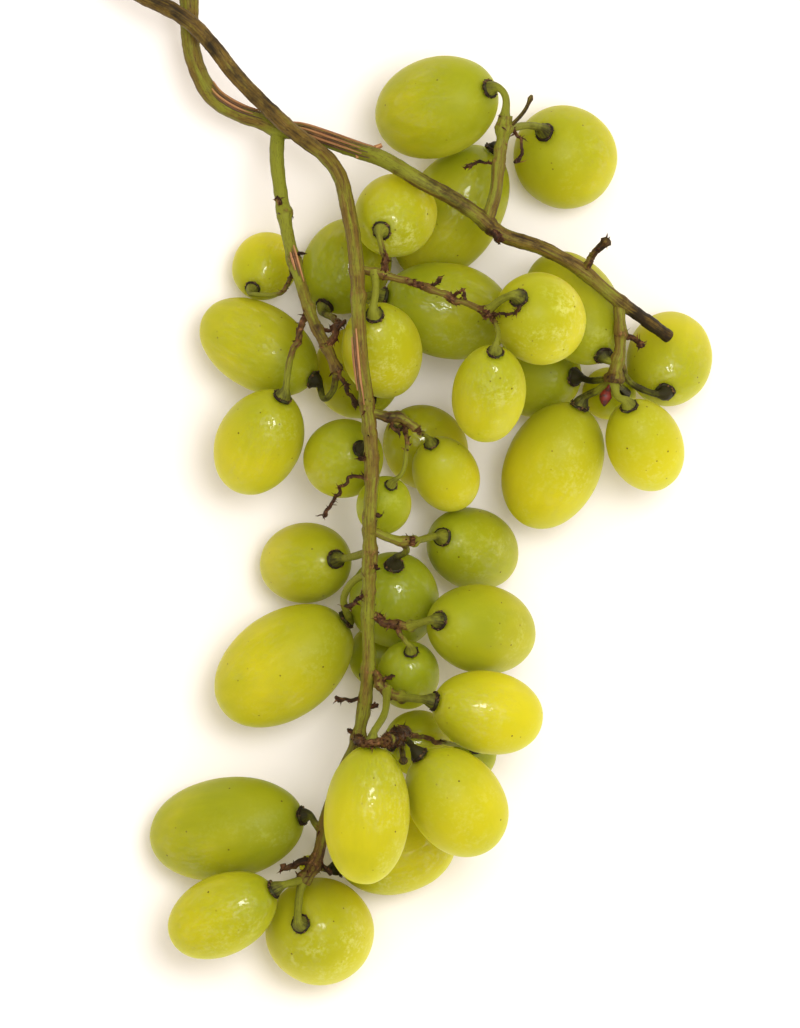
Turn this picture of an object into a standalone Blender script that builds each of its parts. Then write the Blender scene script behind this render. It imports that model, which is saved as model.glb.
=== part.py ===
# A bunch of green grapes lying on a table, as picked.
# X runs across the bunch, Y along it towards the cut stalk and Z up from the table.
# Sizes in the tables are in millimetres and degrees, and MM turns them into metres.

import math

import bmesh
import bpy
import numpy as np
from mathutils import Vector

MM = 0.001

# Grapes
GRAPE_SIDES = 12
GRAPE_RINGS = 8
TAPER = 0.05
REST_SINK = 0.45
TOUCH_GAP = 0.45
SETTLE_STEP = 0.5
SLIDE = 0.6
HIDDEN_SLIDE = 3.0
SLIDE_RINGS = 3
SLIDE_COST = 2.5

# Stem
CAP_GAP = 0.4
CAP_RADIUS = 1.9
CAP_SHAPE = ((1.5, 0.55), (0.9, 0.97), (CAP_GAP, 1.0))
CAP_CLEAR = 0.2
PEDICEL_RADIUS = 0.75
STEM_CLEARANCE = 0.55
ROUTE_STEP = 0.6
STALK_SPACING = 4.6
TWIG_SPACING = 3.6
STALK_RESOLUTION = 2
TWIG_RESOLUTION = 1
SOCKET_FLARE = 1.35
THICK_STALK = 1.2
PULL_SWEEPS = 3000
CURVE_STEP = 0.1
FULL_CAP_WIDTH = 10.0
SHARP_EDGE = 50
WELD = 0.0005

# The cutter that trims the grapes at the level of the table
CUTTER_WIDTH = 500.0
CUTTER_DEPTH = 40.0

# One row for each grape, lowest in the heap first: number, centre x and y, length, width,
# heading of the end with the pedicel from +X towards +Y, and how steeply that end rises.
GRAPES = [
    (3, 10.4, 60.4, 30.4, 20.0, 56, 12),
    (1, 7.4, 81.2, 27.6, 20.6, 18, 38),
    (2, 33.0, 71.6, 22.6, 21.0, 132, 57),
    (6, -10.8, 49.6, 20.6, 18.0, 242, 30),
    (4, -1.0, 59.4, 20.0, 16.8, 230, 66),
    (12, 9.4, 40.6, 27.2, 19.6, 168, 20),
    (16, 27.4, 27.8, 19.2, 17.2, 357, 40),
    (18, 40.0, 24.2, 11.6, 10.8, 0, 60),
    (22, 5.0, 13.4, 19.2, 16.8, 135, 45),
    (10, -8.6, 28.2, 20.0, 18.0, 290, 55),
    (5, -26.6, 49.4, 15.5, 13.2, 242, 50),
    (7, -28.2, 33.4, 27.0, 17.6, 329, 22),
    (8, -28.1, 14.4, 24.0, 17.4, 62, 34),
    (11, -3.6, 32.6, 24.0, 16.4, 102, 55),
    (15, 34.8, 41.0, 27.6, 18.4, 301, 38),
    (13, 27.6, 38.8, 20.6, 18.4, 137, 57),
    (14, 17.9, 24.4, 23.0, 15.0, 82, 45),
    (17, 54.0, 30.9, 22.6, 17.6, 259, 54),
    (19, 30.6, 9.8, 27.0, 19.6, 66, 18),
    (20, 48.2, 13.8, 21.4, 15.6, 113, 40),
    (21, -11.8, 11.1, 18.4, 16.0, 28, 65),
    (24, -3.2, 1.8, 13.2, 11.2, 70, 52),
    (25, -18.8, -9.8, 24.0, 16.6, 7, 60),
    (30, -3.8, -28.4, 13.8, 13.4, 235, 45),
    (26, -1.2, -17.0, 21.0, 18.4, 90, 50),
    (27, 14.0, -6.9, 26.0, 16.6, 159, 61),
    (23, 9.1, 8.0, 17.2, 13.4, 116, 42),
    (28, 16.1, -22.9, 27.6, 18.2, 168, 52),
    (31, 1.6, -31.8, 16.0, 12.8, 83, 55),
    (29, -23.2, -29.6, 31.0, 21.6, 36, 10),
    (34, 13.2, -47.8, 13.2, 12.8, 30, 70),
    (33, 3.6, -44.8, 14.8, 13.6, 180, 45),
    (37, -0.6, -67.2, 24.4, 18.4, 197, 5),
    (32, 17.4, -39.2, 23.2, 17.0, 168, 22),
    (36, 11.4, -56.5, 24.2, 19.0, 128, 16),
    (35, -6.5, -59.4, 27.8, 17.4, 86, 8),
    (38, -34.7, -63.0, 32.8, 21.0, 10, 22),
    (40, -15.8, -83.6, 24.5, 22.0, 150, 70),
    (39, -35.4, -80.0, 24.0, 16.4, 27, 20),
    (9, -18.6, -70.2, 4.0, 3.4, 60, 50),
]

# These show little, so they may slide further as they settle.
HIDDEN_GRAPES = (10, 12, 16, 18, 22, 30, 33, 34)

# The undeveloped grape hangs from its twig, so it has its own height.
HANGING = {9: 6.0}

# Stalks and side twigs, each grown from one listed before it: parent, radius at the start and the
# end, plan points with a height where it is held, and the grapes that it passes under.
STALKS = {
    "peduncle": (None, 2.5, 2.3, [(-66.0, 123.8, 12.0), (-63.4, 120.0, 12.3), (-60.6, 116.0, 12.5)], ()),
    "right": (None, 2.0, 1.3, [
        (-61.6, 117.4, 12.5), (-55.6, 116.0, 12.6), (-50.4, 113.8, 12.6), (-46.0, 110.8, 12.6),
        (-43.2, 106.8, 12.6), (-42.2, 102.8, 12.6), (-42.2, 98.8, 12.6), (-42.0, 94.8, 12.8),
        (-41.2, 90.8, 13.2), (-39.6, 86.8, 13.8), (-37.4, 83.4, 14.4), (-34.4, 81.2, 15.0),
        (-31.0, 79.6, 15.6), (-27.6, 78.6, 16.2), (-24.4, 76.8, 17.0), (-20.0, 76.4), (-14.0, 74.4),
        (-8.0, 72.2), (-3.0, 70.4), (4.6, 65.8), (10.0, 63.0), (16.0, 59.0), (20.0, 55.6),
        (24.0, 54.2), (28.0, 53.0), (32.0, 51.0), (36.0, 48.6), (40.0, 45.2), (44.0, 42.0),
        (47.0, 40.0), (53.6, 35.4)], ()),
    "long": (None, 1.7, 1.15, [
        (-61.6, 117.4, 12.6), (-60.0, 112.8, 13.2), (-58.0, 108.8, 14.0), (-54.4, 105.4, 15.0),
        (-50.0, 102.8, 16.2), (-45.0, 100.4, 17.2), (-41.0, 97.4, 17.7), (-36.8, 92.8, 18.0),
        (-33.8, 88.8, 18.6), (-30.2, 84.8, 19.6), (-26.2, 80.8, 20.8), (-22.4, 77.2, 21.6),
        (-19.4, 74.8), (-14.4, 70.8), (-11.8, 66.8), (-10.8, 62.8), (-10.0, 58.8), (-9.2, 54.8),
        (-8.4, 46.8), (-8.2, 38.8), (-7.8, 32.8), (-7.2, 26.8), (-6.6, 22.8), (-5.8, 14.8),
        (-5.6, 6.8), (-6.0, -1.2), (-6.0, -9.2), (-6.4, -21.2), (-6.2, -29.2), (-7.0, -37.2),
        (-8.6, -45.2), (-11.4, -51.2), (-13.4, -56.2), (-15.0, -61.2), (-15.6, -64.8),
        (-16.4, -68.2), (-17.6, -70.8), (-19.4, -73.2, 15.0)], (35,)),
    "left": ("right", 1.5, 1.0, [
        (-24.4, 76.4), (-24.6, 70.8), (-23.6, 62.8), (-22.2, 54.8), (-20.0, 46.8), (-17.4, 38.8),
        (-14.4, 32.8), (-12.4, 28.4)], ()),
    "upper_twig": ("right", 1.3, 1.1, [
        (17.4, 58.4), (19.0, 63.8), (19.4, 67.8), (20.0, 71.8), (20.6, 75.8), (21.0, 79.2)], ()),
    "end_twig": ("right", 1.2, 1.0, [
        (43.6, 41.4), (43.8, 32.8), (43.0, 29.4), (42.5, 26.2)], ()),
    "twig_1": ("long", 0.75, 0.6, [
        (-8.4, 48.6), (-3.4, 47.4), (4.0, 45.2), (12.0, 42.2), (17.6, 39.8)], ()),
    "twig_2": ("long", 0.9, 0.7, [
        (-6.4, 20.4), (-2.4, 19.2), (1.6, 18.8), (3.2, 16.8)], ()),
    "twig_3": ("long", 0.9, 0.8, [
        (-6.2, -3.4), (-3.0, -4.4), (0.0, -5.4), (3.0, -5.4)], ()),
    "twig_4": ("long", 0.9, 0.7, [
        (-6.2, -20.0), (-3.0, -21.6), (-0.4, -22.2), (2.4, -22.2)], ()),
    "twig_5": ("long", 0.9, 0.8, [
        (-6.4, -30.6), (-4.4, -32.6), (-2.4, -35.4), (0.6, -36.4)], ()),
    "twig_6": ("long", 0.8, 0.8, [
        (-8.4, -44.8), (-4.4, -45.4), (-1.6, -44.4), (0.6, -43.8)], ()),
    "low_twig": ("long", 0.7, 0.6, [
        (-17.2, -69.6), (-20.0, -69.6), (-23.0, -71.2), (-23.4, -69.8)], ()),
}

# Pedicels: grape, stalk or twig that it grows from, plan points from there towards the grape,
# how far it runs straight out of the grape, and the grapes that it passes under.
PEDICELS = [
    (1, "upper_twig", [(20.8, 78.8), (21.2, 82.2), (20.6, 84.0)], 2.2, ()),
    (2, "upper_twig", [(21.0, 76.4), (25.0, 77.4)], 2.4, ()),
    (3, "upper_twig", [(20.0, 72.4)], 1.2, ()),
    (4, "twig_1", [(-3.4, 47.4), (-2.8, 50.0)], 2.6, ()),
    (5, "left", [(-20.8, 49.6), (-23.4, 44.2)], 2.4, ()),
    (6, "left", [(-14.6, 33.2), (-13.0, 35.2), (-12.8, 38.4)], 1.8, ()),
    (7, "left", [(-12.6, 28.6), (-13.2, 24.8), (-15.2, 22.8)], 1.8, ()),
    (8, "left", [(-18.2, 40.6), (-20.4, 34.8), (-22.0, 30.4)], 1.8, ()),
    (9, "low_twig", [(-18.4, -69.6)], 0.8, ()),
    (10, "long", [(-6.6, 22.6)], 2.0, ()),
    (11, "twig_1", [(-5.0, 47.8), (-4.8, 44.0)], 2.4, ()),
    (12, "long", [(-8.4, 42.8)], 2.2, (11,)),
    (13, "twig_1", [(17.2, 40.0), (20.0, 42.4)], 2.2, ()),
    (14, "twig_1", [(17.4, 39.8), (19.4, 36.4)], 2.4, ()),
    (15, "end_twig", [(43.0, 30.4)], 2.2, ()),
    (16, "end_twig", [(42.6, 27.0), (38.0, 26.6)], 2.2, ()),
    (17, "end_twig", [(43.4, 31.0), (45.4, 26.6), (49.4, 24.4)], 1.4, ()),
    (18, "end_twig", [(42.6, 26.6)], 1.6, ()),
    (19, "end_twig", [(42.8, 27.6), (40.0, 25.0)], 2.2, ()),
    (20, "end_twig", [(42.6, 26.0), (43.2, 23.0)], 2.2, ()),
    (21, "long", [(-6.0, 16.8)], 2.2, ()),
    (22, "twig_2", [(-0.4, 18.9)], 1.6, ()),
    (23, "twig_2", [(3.0, 17.0)], 2.2, ()),
    (24, "twig_2", [(0.8, 18.8), (1.4, 13.2), (0.4, 7.8)], 2.0, ()),
    (25, "long", [(-6.0, -7.4), (-9.0, -8.4)], 2.2, ()),
    (26, "twig_3", [(0.4, -5.4), (1.4, -7.4)], 2.4, ()),
    (27, "twig_3", [(2.8, -5.4)], 2.2, ()),
    (28, "twig_4", [(2.2, -22.2)], 2.2, ()),
    (29, "long", [(-6.2, -11.6), (-9.4, -13.4), (-11.3, -17.0)], 0.9, ()),
    (30, "long", [(-6.2, -31.4)], 1.6, ()),
    (31, "twig_4", [(-0.6, -22.2), (0.8, -25.2)], 2.2, ()),
    (32, "twig_5", [(0.4, -36.4)], 2.2, ()),
    (33, "twig_6", [(-2.0, -44.6)], 1.6, ()),
    (34, "twig_6", [(0.4, -43.8), (5.0, -45.0), (11.0, -46.0)], 1.4, (32, 36)),
    (35, "twig_5", [(-2.6, -35.0), (-3.0, -39.4)], 2.4, ()),
    (36, "twig_6", [(0.4, -43.8)], 2.0, ()),
    (37, "long", [(-17.0, -70.2)], 2.0, (35,)),
    (38, "long", [(-15.8, -62.6), (-17.0, -61.8)], 2.2, (35,)),
    (39, "long", [(-19.2, -73.0)], 2.2, ()),
    (40, "long", [(-19.2, -73.0), (-20.0, -75.4)], 2.4, ()),
]

# Dried stubs: what they grow from, plan points from there, radius and how far the tip rises.
STUBS = [
    ("right", [(36.6, 48.2), (38.8, 51.8), (41.2, 54.8)], 1.0, 2.0),
    ("upper_twig", [(20.8, 76.0), (24.6, 79.8), (26.2, 83.2)], 0.65, 1.5),
    ("upper_twig", [(20.8, 77.0), (24.0, 74.8), (24.4, 72.4), (22.6, 69.8)], 0.55, 0.6),
    ("upper_twig", [(19.6, 69.6), (17.0, 69.8), (13.0, 68.8)], 0.5, 1.0),
    ("end_twig", [(43.8, 36.0), (46.0, 35.2), (48.2, 33.2)], 0.9, 0.8),
    ("end_twig", [(42.6, 27.2), (40.8, 23.4), (40.6, 21.4)], 0.9, 1.0),
    ("twig_1", [(5.6, 44.6), (7.0, 46.0), (8.4, 46.8)], 0.5, 1.0),
    ("twig_1", [(10.0, 42.8), (12.4, 44.4), (13.2, 42.4)], 0.5, 1.4),
    ("twig_1", [(17.4, 39.9), (21.8, 39.2), (23.8, 41.2)], 0.5, 0.8),
    ("left", [(-23.2, 60.0), (-25.0, 62.6)], 0.5, 1.0),
    ("left", [(-16.4, 36.6), (-12.4, 37.4), (-10.8, 38.4)], 0.6, 1.2),
    ("left", [(-12.6, 28.8), (-10.0, 24.4), (-8.8, 21.0)], 0.75, 0.0),
    ("long", [(-5.8, 7.4), (-10.4, 6.6), (-13.4, 2.2), (-15.0, -0.6)], 0.6, 0.0),
    ("twig_2", [(-2.2, 19.2), (-1.8, 17.4), (0.0, 15.6)], 0.5, 0.4),
    ("long", [(-6.2, -15.4), (-9.2, -17.6), (-11.0, -18.2)], 0.6, 0.6),
    ("long", [(-7.0, -37.0), (-10.0, -37.4), (-12.8, -36.2)], 0.6, 0.6),
    ("long", [(-7.4, -39.6), (-4.4, -37.8)], 0.55, 0.8),
    ("long", [(-8.2, -44.0), (-10.4, -42.8)], 0.55, 0.8),
    ("twig_5", [(-3.6, -33.4), (-1.0, -32.2)], 0.55, 0.8),
    ("twig_6", [(0.0, -44.0), (0.4, -46.6), (0.7, -49.2)], 1.0, 0.6),
    ("long", [(-16.8, -69.2), (-14.0, -72.0)], 0.6, 0.6),
]

SKIN_COLOUR = (0.56, 0.52, 0.04, 1.0)
SHADED_SKIN_COLOUR = (0.28, 0.32, 0.03, 1.0)
STEM_COLOUR = (0.16, 0.14, 0.05, 1.0)
SHADED_GRAPES = (3, 6, 10, 12, 16, 18, 22, 26, 30, 31, 33, 34)


def clear_scene():
    for item in list(bpy.data.objects):
        bpy.data.objects.remove(item)


def new_collection(name):
    collection = bpy.data.collections.new(name)
    bpy.context.scene.collection.children.link(collection)
    return collection


def make_material(name, colour, roughness):
    material = bpy.data.materials.new(name)
    material.use_nodes = True
    shader = material.node_tree.nodes["Principled BSDF"]
    shader.inputs["Base Color"].default_value = colour
    shader.inputs["Roughness"].default_value = roughness
    shader.inputs["Metallic"].default_value = 0.0
    return material


# Where the grapes lie


class Grape:
    """One grape as an ellipsoid: its centre, half sizes and the direction of its pedicel end."""

    def __init__(self, number, x, y, length, width, heading, rise):
        self.number = number
        self.centre = np.array([x, y, 0.0])
        self.half_length = length / 2
        self.half_width = width / 2
        turn = math.radians(heading)
        lift = math.radians(rise)
        flat = math.cos(lift)
        self.axis = np.array([flat * math.cos(turn), flat * math.sin(turn), math.sin(lift)])
        self.rests = False

    def half_height(self):
        return math.hypot(self.half_length * self.axis[2],
                          self.half_width * math.hypot(self.axis[0], self.axis[1]))

    def heights(self, x, y, grow):
        """Lowest and highest z of the grown ellipsoid above each point, or nan beside it."""
        long_term = 1 / (self.half_length + grow) ** 2
        wide_term = 1 / (self.half_width + grow) ** 2
        dx = x - self.centre[0]
        dy = y - self.centre[1]
        along = dx * self.axis[0] + dy * self.axis[1]
        extra = long_term - wide_term
        a = extra * self.axis[2] ** 2 + wide_term
        b = 2 * extra * along * self.axis[2]
        c = extra * along ** 2 + wide_term * (dx ** 2 + dy ** 2) - 1
        inside = b ** 2 - 4 * a * c
        root = np.sqrt(np.where(inside >= 0, inside, np.nan))
        return self.centre[2] + (-b - root) / (2 * a), self.centre[2] + (-b + root) / (2 * a)

    def pole(self, beyond=0.0):
        return self.centre + self.axis * (self.half_length + beyond)


def lift_over(grape, settled):
    """Height of the grape's centre as it meets the table or the grapes below it."""
    reach = max(grape.half_length, grape.half_width)
    steps = np.arange(-reach, reach + SETTLE_STEP, SETTLE_STEP)
    x, y = np.meshgrid(grape.centre[0] + steps, grape.centre[1] + steps)
    low, _ = grape.heights(x, y, TOUCH_GAP / 2)
    lift = grape.half_height() - REST_SINK
    for other in settled.values():
        apart = math.hypot(*(other.centre - grape.centre)[:2])
        if apart < reach + max(other.half_length, other.half_width) + TOUCH_GAP:
            _, high = other.heights(x, y, TOUCH_GAP / 2)
            drop = high - low
            if np.isfinite(drop).any():
                lift = max(lift, float(np.nanmax(drop)))
    return lift


def settle_grapes():
    """Lowers each grape in turn, sliding it a little where that lets it lie lower."""
    settled = {}
    for row in GRAPES:
        grape = Grape(*row)
        start = grape.centre.copy()
        slide = HIDDEN_SLIDE if grape.number in HIDDEN_GRAPES else SLIDE
        best = None
        for ring in range(SLIDE_RINGS + 1):
            move = slide * ring / SLIDE_RINGS
            for turn in np.arange(0.0, 2 * math.pi, math.pi / 6) if ring else [0.0]:
                grape.centre = start + move * np.array([math.cos(turn), math.sin(turn), 0.0])
                lift = lift_over(grape, settled)
                if best is None or lift + SLIDE_COST * move < best[0]:
                    best = (lift + SLIDE_COST * move, grape.centre.copy(), lift)
        grape.centre = best[1]
        grape.centre[2] = HANGING.get(grape.number, best[2])
        grape.rests = grape.centre[2] < grape.half_height()
        settled[grape.number] = grape
    return settled


# Routes of the stalks, twigs and pedicels


def run_along(points):
    return np.concatenate([[0.0], np.cumsum(np.linalg.norm(np.diff(points, axis=0), axis=1))])


def evenly(points, spacing):
    """The same path with its points about the spacing apart."""
    run = run_along(points)
    count = max(2, int(round(run[-1] / spacing)) + 1)
    even = np.linspace(0.0, run[-1], count)
    return np.stack([np.interp(even, run, column) for column in points.T], axis=1)


def smooth_plan(points):
    """Close points on a Catmull-Rom curve through the given ones."""
    known = [np.array(point[:2], dtype=float) for point in points]
    known = [2 * known[0] - known[1]] + known + [2 * known[-1] - known[-2]]
    fine = []
    for before, start, end, after in zip(known, known[1:], known[2:], known[3:]):
        for t in np.arange(0.0, 1.0, CURVE_STEP):
            fine.append(0.5 * (2 * start + (end - before) * t
                               + (2 * before - 5 * start + 4 * end - after) * t ** 2
                               + (3 * start - before - 3 * end + after) * t ** 3))
    fine.append(known[-2])
    return evenly(np.array(fine), ROUTE_STEP)


def height_limits(plan, radius, grapes, below):
    """Least and greatest height of a tube's centre at each plan point, clear of every grape."""
    least = np.full(len(plan), radius + STEM_CLEARANCE)
    most = np.full(len(plan), np.inf)
    for grape in grapes.values():
        low, high = grape.heights(plan[:, 0], plan[:, 1], radius + STEM_CLEARANCE)
        if grape.number in below:
            most = np.fmin(most, low)
        else:
            least = np.fmax(least, high)
    return least, most


def pull_tight(heights, held, least, most):
    """Lets the free heights hang straight between the held ones, over what is in the way."""
    heights = heights.copy()
    free = np.array([index for index in range(1, len(heights) - 1) if not held[index]], dtype=int)
    for sweep in range(PULL_SWEEPS):
        turn = free[free % 2 == sweep % 2]
        middle = (heights[turn - 1] + heights[turn + 1]) / 2
        heights[turn] = np.maximum(np.minimum(middle, most[turn]), least[turn])
    return heights


def nearest_on(route, x, y):
    gaps = np.hypot(route[:, 0] - x, route[:, 1] - y)
    return route[int(np.argmin(gaps))]


def trace_stalk(name, routes, grapes):
    parent, start_radius, end_radius, points, below = STALKS[name]
    plan = smooth_plan(points)
    least, most = height_limits(plan, start_radius, grapes, below)
    marks = [(int(np.argmin(np.hypot(plan[:, 0] - point[0], plan[:, 1] - point[1]))), point[2])
             for point in points if len(point) == 3]
    if parent:
        marks.insert(0, (0, nearest_on(routes[parent], *plan[0])[2]))
    run = run_along(plan)
    held = np.zeros(len(plan), dtype=bool)
    heights = np.interp(run, [run[index] for index, _ in marks], [height for _, height in marks])
    for index, height in marks:
        held[index] = True
        heights[index] = height if parent else max(min(height, most[index]), least[index])
    if not held[-1]:
        heights[-1] = max(least[-1], heights[0])
    return np.column_stack([plan, pull_tight(heights, held, least, most)])


def trace_pedicel(row, routes, grapes):
    """Route from the parent to the grape, and how much of its end stands straight on the grape."""
    number, parent, points, straight, below = row
    grape = grapes[number]
    leave = grape.pole(straight)
    plan = smooth_plan(points + [leave])
    radius = PEDICEL_RADIUS * small_scale(grape)
    least, most = height_limits(plan, radius, grapes, below)
    heights = np.linspace(nearest_on(routes[parent], *plan[0])[2], leave[2], len(plan))
    held = np.zeros(len(plan), dtype=bool)
    route = evenly(np.column_stack([plan, pull_tight(heights, held, least, most)]), TWIG_SPACING)
    radii = [radius * SOCKET_FLARE] + [radius] * (len(route) - 1)
    for beyond, wide in CAP_SHAPE:
        if beyond < straight - CAP_CLEAR:
            route = np.vstack([route, grape.pole(beyond)])
            radii.append(CAP_RADIUS * small_scale(grape) * wide)
    return route, radii


def small_scale(grape):
    return min(1.0, 2 * grape.half_width / FULL_CAP_WIDTH)


def trace_stub(row, routes, grapes):
    parent, points, radius, rise = row
    plan = smooth_plan(points)
    least, _ = height_limits(plan, radius, grapes, ())
    start = nearest_on(routes[parent], *plan[0])[2]
    heights = start + rise * np.linspace(0.0, 1.0, len(plan))
    heights[1:] = np.maximum(heights[1:], least[1:])
    route = evenly(np.column_stack([plan, heights]), TWIG_SPACING)
    return route, [radius * SOCKET_FLARE] + [radius] * (len(route) - 1)


# Solids


def add_tube(name, route, radii, resolution, collection):
    """A closed mesh tube along the route, made from a curve with filled ends."""
    curve = bpy.data.curves.new(name, "CURVE")
    curve.dimensions = "3D"
    curve.bevel_depth = MM
    curve.bevel_resolution = resolution
    curve.use_fill_caps = True
    spline = curve.splines.new("POLY")
    spline.points.add(len(route) - 1)
    for point, place, radius in zip(spline.points, route, radii):
        point.co = (*(place * MM), 1.0)
        point.radius = float(radius)
    guide = bpy.data.objects.new(name + "_curve", curve)
    collection.objects.link(guide)
    bpy.context.view_layer.update()
    mesh = bpy.data.meshes.new_from_object(guide.evaluated_get(bpy.context.evaluated_depsgraph_get()))
    shape = bmesh.new()
    shape.from_mesh(mesh)
    bmesh.ops.remove_doubles(shape, verts=shape.verts, dist=WELD * MM)
    bmesh.ops.triangulate(shape, faces=shape.faces)
    bmesh.ops.recalc_face_normals(shape, faces=shape.faces)
    shape.to_mesh(mesh)
    shape.free()
    tube = bpy.data.objects.new(name, mesh)
    tube.matrix_world = guide.matrix_world
    collection.objects.link(tube)
    bpy.data.objects.remove(guide)
    return tube


def grow_stem(grapes, parts):
    """The stalks, twigs, pedicels and stubs, joined into one woody solid."""
    branches = new_collection("branches")
    routes = {}
    for name, row in STALKS.items():
        _, start_radius, end_radius, _, _ = row
        routes[name] = trace_stalk(name, routes, grapes)
        thick = start_radius > THICK_STALK
        route = evenly(routes[name], STALK_SPACING if thick else TWIG_SPACING)
        radii = np.linspace(start_radius, end_radius, len(route))
        resolution = STALK_RESOLUTION if thick else TWIG_RESOLUTION
        add_tube("branch_" + name, route, radii, resolution, branches)
    for row in PEDICELS:
        route, radii = trace_pedicel(row, routes, grapes)
        add_tube(f"branch_pedicel_{row[0]:02d}", route, radii, TWIG_RESOLUTION, branches)
    for index, row in enumerate(STUBS):
        route, radii = trace_stub(row, routes, grapes)
        add_tube(f"branch_stub_{index:02d}", route, radii, TWIG_RESOLUTION, branches)

    trunk = branches.objects["branch_long"]
    branches.objects.unlink(trunk)
    parts.objects.link(trunk)
    join = trunk.modifiers.new("join_branches", "BOOLEAN")
    join.operation = "UNION"
    join.operand_type = "COLLECTION"
    join.collection = branches
    join.solver = "MANIFOLD"
    bpy.context.view_layer.update()
    joined = bpy.data.meshes.new_from_object(trunk.evaluated_get(bpy.context.evaluated_depsgraph_get()))
    for piece in list(branches.objects):
        bpy.data.objects.remove(piece)
    bpy.data.objects.remove(trunk)
    bpy.data.collections.remove(branches)
    joined.name = "stem"
    joined.shade_smooth()
    joined.set_sharp_from_angle(angle=math.radians(SHARP_EDGE))
    joined.materials.clear()
    joined.materials.append(make_material("stem", STEM_COLOUR, 0.75))
    stem = bpy.data.objects.new("stem", joined)
    parts.objects.link(stem)
    return stem


def grape_profile(name, grape):
    """Half outline of a grape from its pedicel end down its outer side to its tip."""
    shape = bmesh.new()
    corners = []
    for step in range(GRAPE_RINGS + 1):
        angle = math.pi * step / GRAPE_RINGS
        narrow = 1 - TAPER * (1 + math.cos(angle)) / 2
        out = grape.half_width * math.sin(angle) * narrow
        corners.append(shape.verts.new((out * MM, 0.0, grape.half_length * math.cos(angle) * MM)))
    corners[0].co.x = 0.0
    corners[-1].co.x = 0.0
    for start, end in zip(corners, corners[1:]):
        shape.edges.new((start, end))
    mesh = bpy.data.meshes.new(name)
    shape.to_mesh(mesh)
    shape.free()
    return mesh


def add_grape(grape, parts, table_cutter):
    name = f"grape_{grape.number:02d}"
    body = bpy.data.objects.new(name, grape_profile(name, grape))
    body.location = grape.centre * MM
    body.rotation_euler = Vector(grape.axis).to_track_quat("Z", "Y").to_euler()
    parts.objects.link(body)
    turn = body.modifiers.new("turn", "SCREW")
    turn.axis = "Z"
    turn.steps = GRAPE_SIDES
    turn.render_steps = GRAPE_SIDES
    turn.use_merge_vertices = True
    turn.merge_threshold = 0.01 * MM
    turn.use_smooth_shade = True
    if grape.rests:
        flat = body.modifiers.new("rest_flat", "BOOLEAN")
        flat.operation = "DIFFERENCE"
        flat.object = table_cutter
    colour = SHADED_SKIN_COLOUR if grape.number in SHADED_GRAPES else SKIN_COLOUR
    body.data.materials.append(make_material(name, colour, 0.35))
    return body


def add_table_cutter(cutters):
    """Trims the underside of the grapes that lie on the table, so that each has a flat spot."""
    bpy.ops.mesh.primitive_cube_add(size=1.0, location=(0.0, 0.0, -CUTTER_DEPTH / 2 * MM))
    cutter = bpy.context.object
    cutter.name = "table_cutter"
    cutter.dimensions = (CUTTER_WIDTH * MM, CUTTER_WIDTH * MM, CUTTER_DEPTH * MM)
    for collection in list(cutter.users_collection):
        collection.objects.unlink(cutter)
    cutters.objects.link(cutter)
    cutter.hide_render = True
    cutter.display_type = "WIRE"
    return cutter


def centre_over_origin(pieces):
    """Moves the whole bunch so that the middle of its outline stands over the origin."""
    bpy.context.view_layer.update()
    depsgraph = bpy.context.evaluated_depsgraph_get()
    points = []
    for piece in pieces:
        mesh = piece.evaluated_get(depsgraph).to_mesh()
        points.extend((piece.matrix_world @ vertex.co)[:] for vertex in mesh.vertices)
        piece.evaluated_get(depsgraph).to_mesh_clear()
    points = np.array(points)
    middle = (points.min(axis=0) + points.max(axis=0)) / 2
    for piece in pieces:
        piece.location -= Vector((middle[0], middle[1], 0.0))


def main():
    clear_scene()
    parts = new_collection("bunch_of_grapes")
    cutters = new_collection("cutters")
    table_cutter = add_table_cutter(cutters)
    grapes = settle_grapes()
    pieces = [grow_stem(grapes, parts)]
    for number in sorted(grapes):
        pieces.append(add_grape(grapes[number], parts, table_cutter))
    centre_over_origin(pieces)


main()
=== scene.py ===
# Looks for a bunch of yellow-green grapes lying on a pale table, seen from above.

import math
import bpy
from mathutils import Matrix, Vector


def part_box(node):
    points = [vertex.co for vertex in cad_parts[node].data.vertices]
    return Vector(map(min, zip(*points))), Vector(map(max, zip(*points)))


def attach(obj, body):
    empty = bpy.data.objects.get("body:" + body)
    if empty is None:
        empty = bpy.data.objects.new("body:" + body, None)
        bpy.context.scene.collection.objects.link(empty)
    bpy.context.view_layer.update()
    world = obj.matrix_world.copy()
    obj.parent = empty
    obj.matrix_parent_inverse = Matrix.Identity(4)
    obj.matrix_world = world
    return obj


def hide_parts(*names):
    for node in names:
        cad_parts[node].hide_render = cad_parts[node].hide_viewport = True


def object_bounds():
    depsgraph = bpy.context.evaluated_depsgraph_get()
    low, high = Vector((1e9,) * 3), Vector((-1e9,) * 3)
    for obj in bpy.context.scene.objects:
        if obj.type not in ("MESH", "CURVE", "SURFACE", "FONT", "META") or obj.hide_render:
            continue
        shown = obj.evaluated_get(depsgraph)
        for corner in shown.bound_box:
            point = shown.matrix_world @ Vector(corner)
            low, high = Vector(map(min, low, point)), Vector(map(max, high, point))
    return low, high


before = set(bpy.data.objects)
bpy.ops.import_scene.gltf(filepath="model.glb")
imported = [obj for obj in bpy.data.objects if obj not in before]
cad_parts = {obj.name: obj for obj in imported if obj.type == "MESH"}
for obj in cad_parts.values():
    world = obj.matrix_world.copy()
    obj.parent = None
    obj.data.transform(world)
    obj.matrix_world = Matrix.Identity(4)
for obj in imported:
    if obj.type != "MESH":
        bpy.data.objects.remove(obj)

from types import SimpleNamespace

import bpy
import numpy as np
from mathutils import Matrix, Vector

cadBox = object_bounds()
scene = bpy.context.scene
boxLow, boxHigh = (np.array(corner) for corner in cadBox)
boxMargin = 0.00001
mm = 0.001
print("frame loaded")


# Node building

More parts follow.
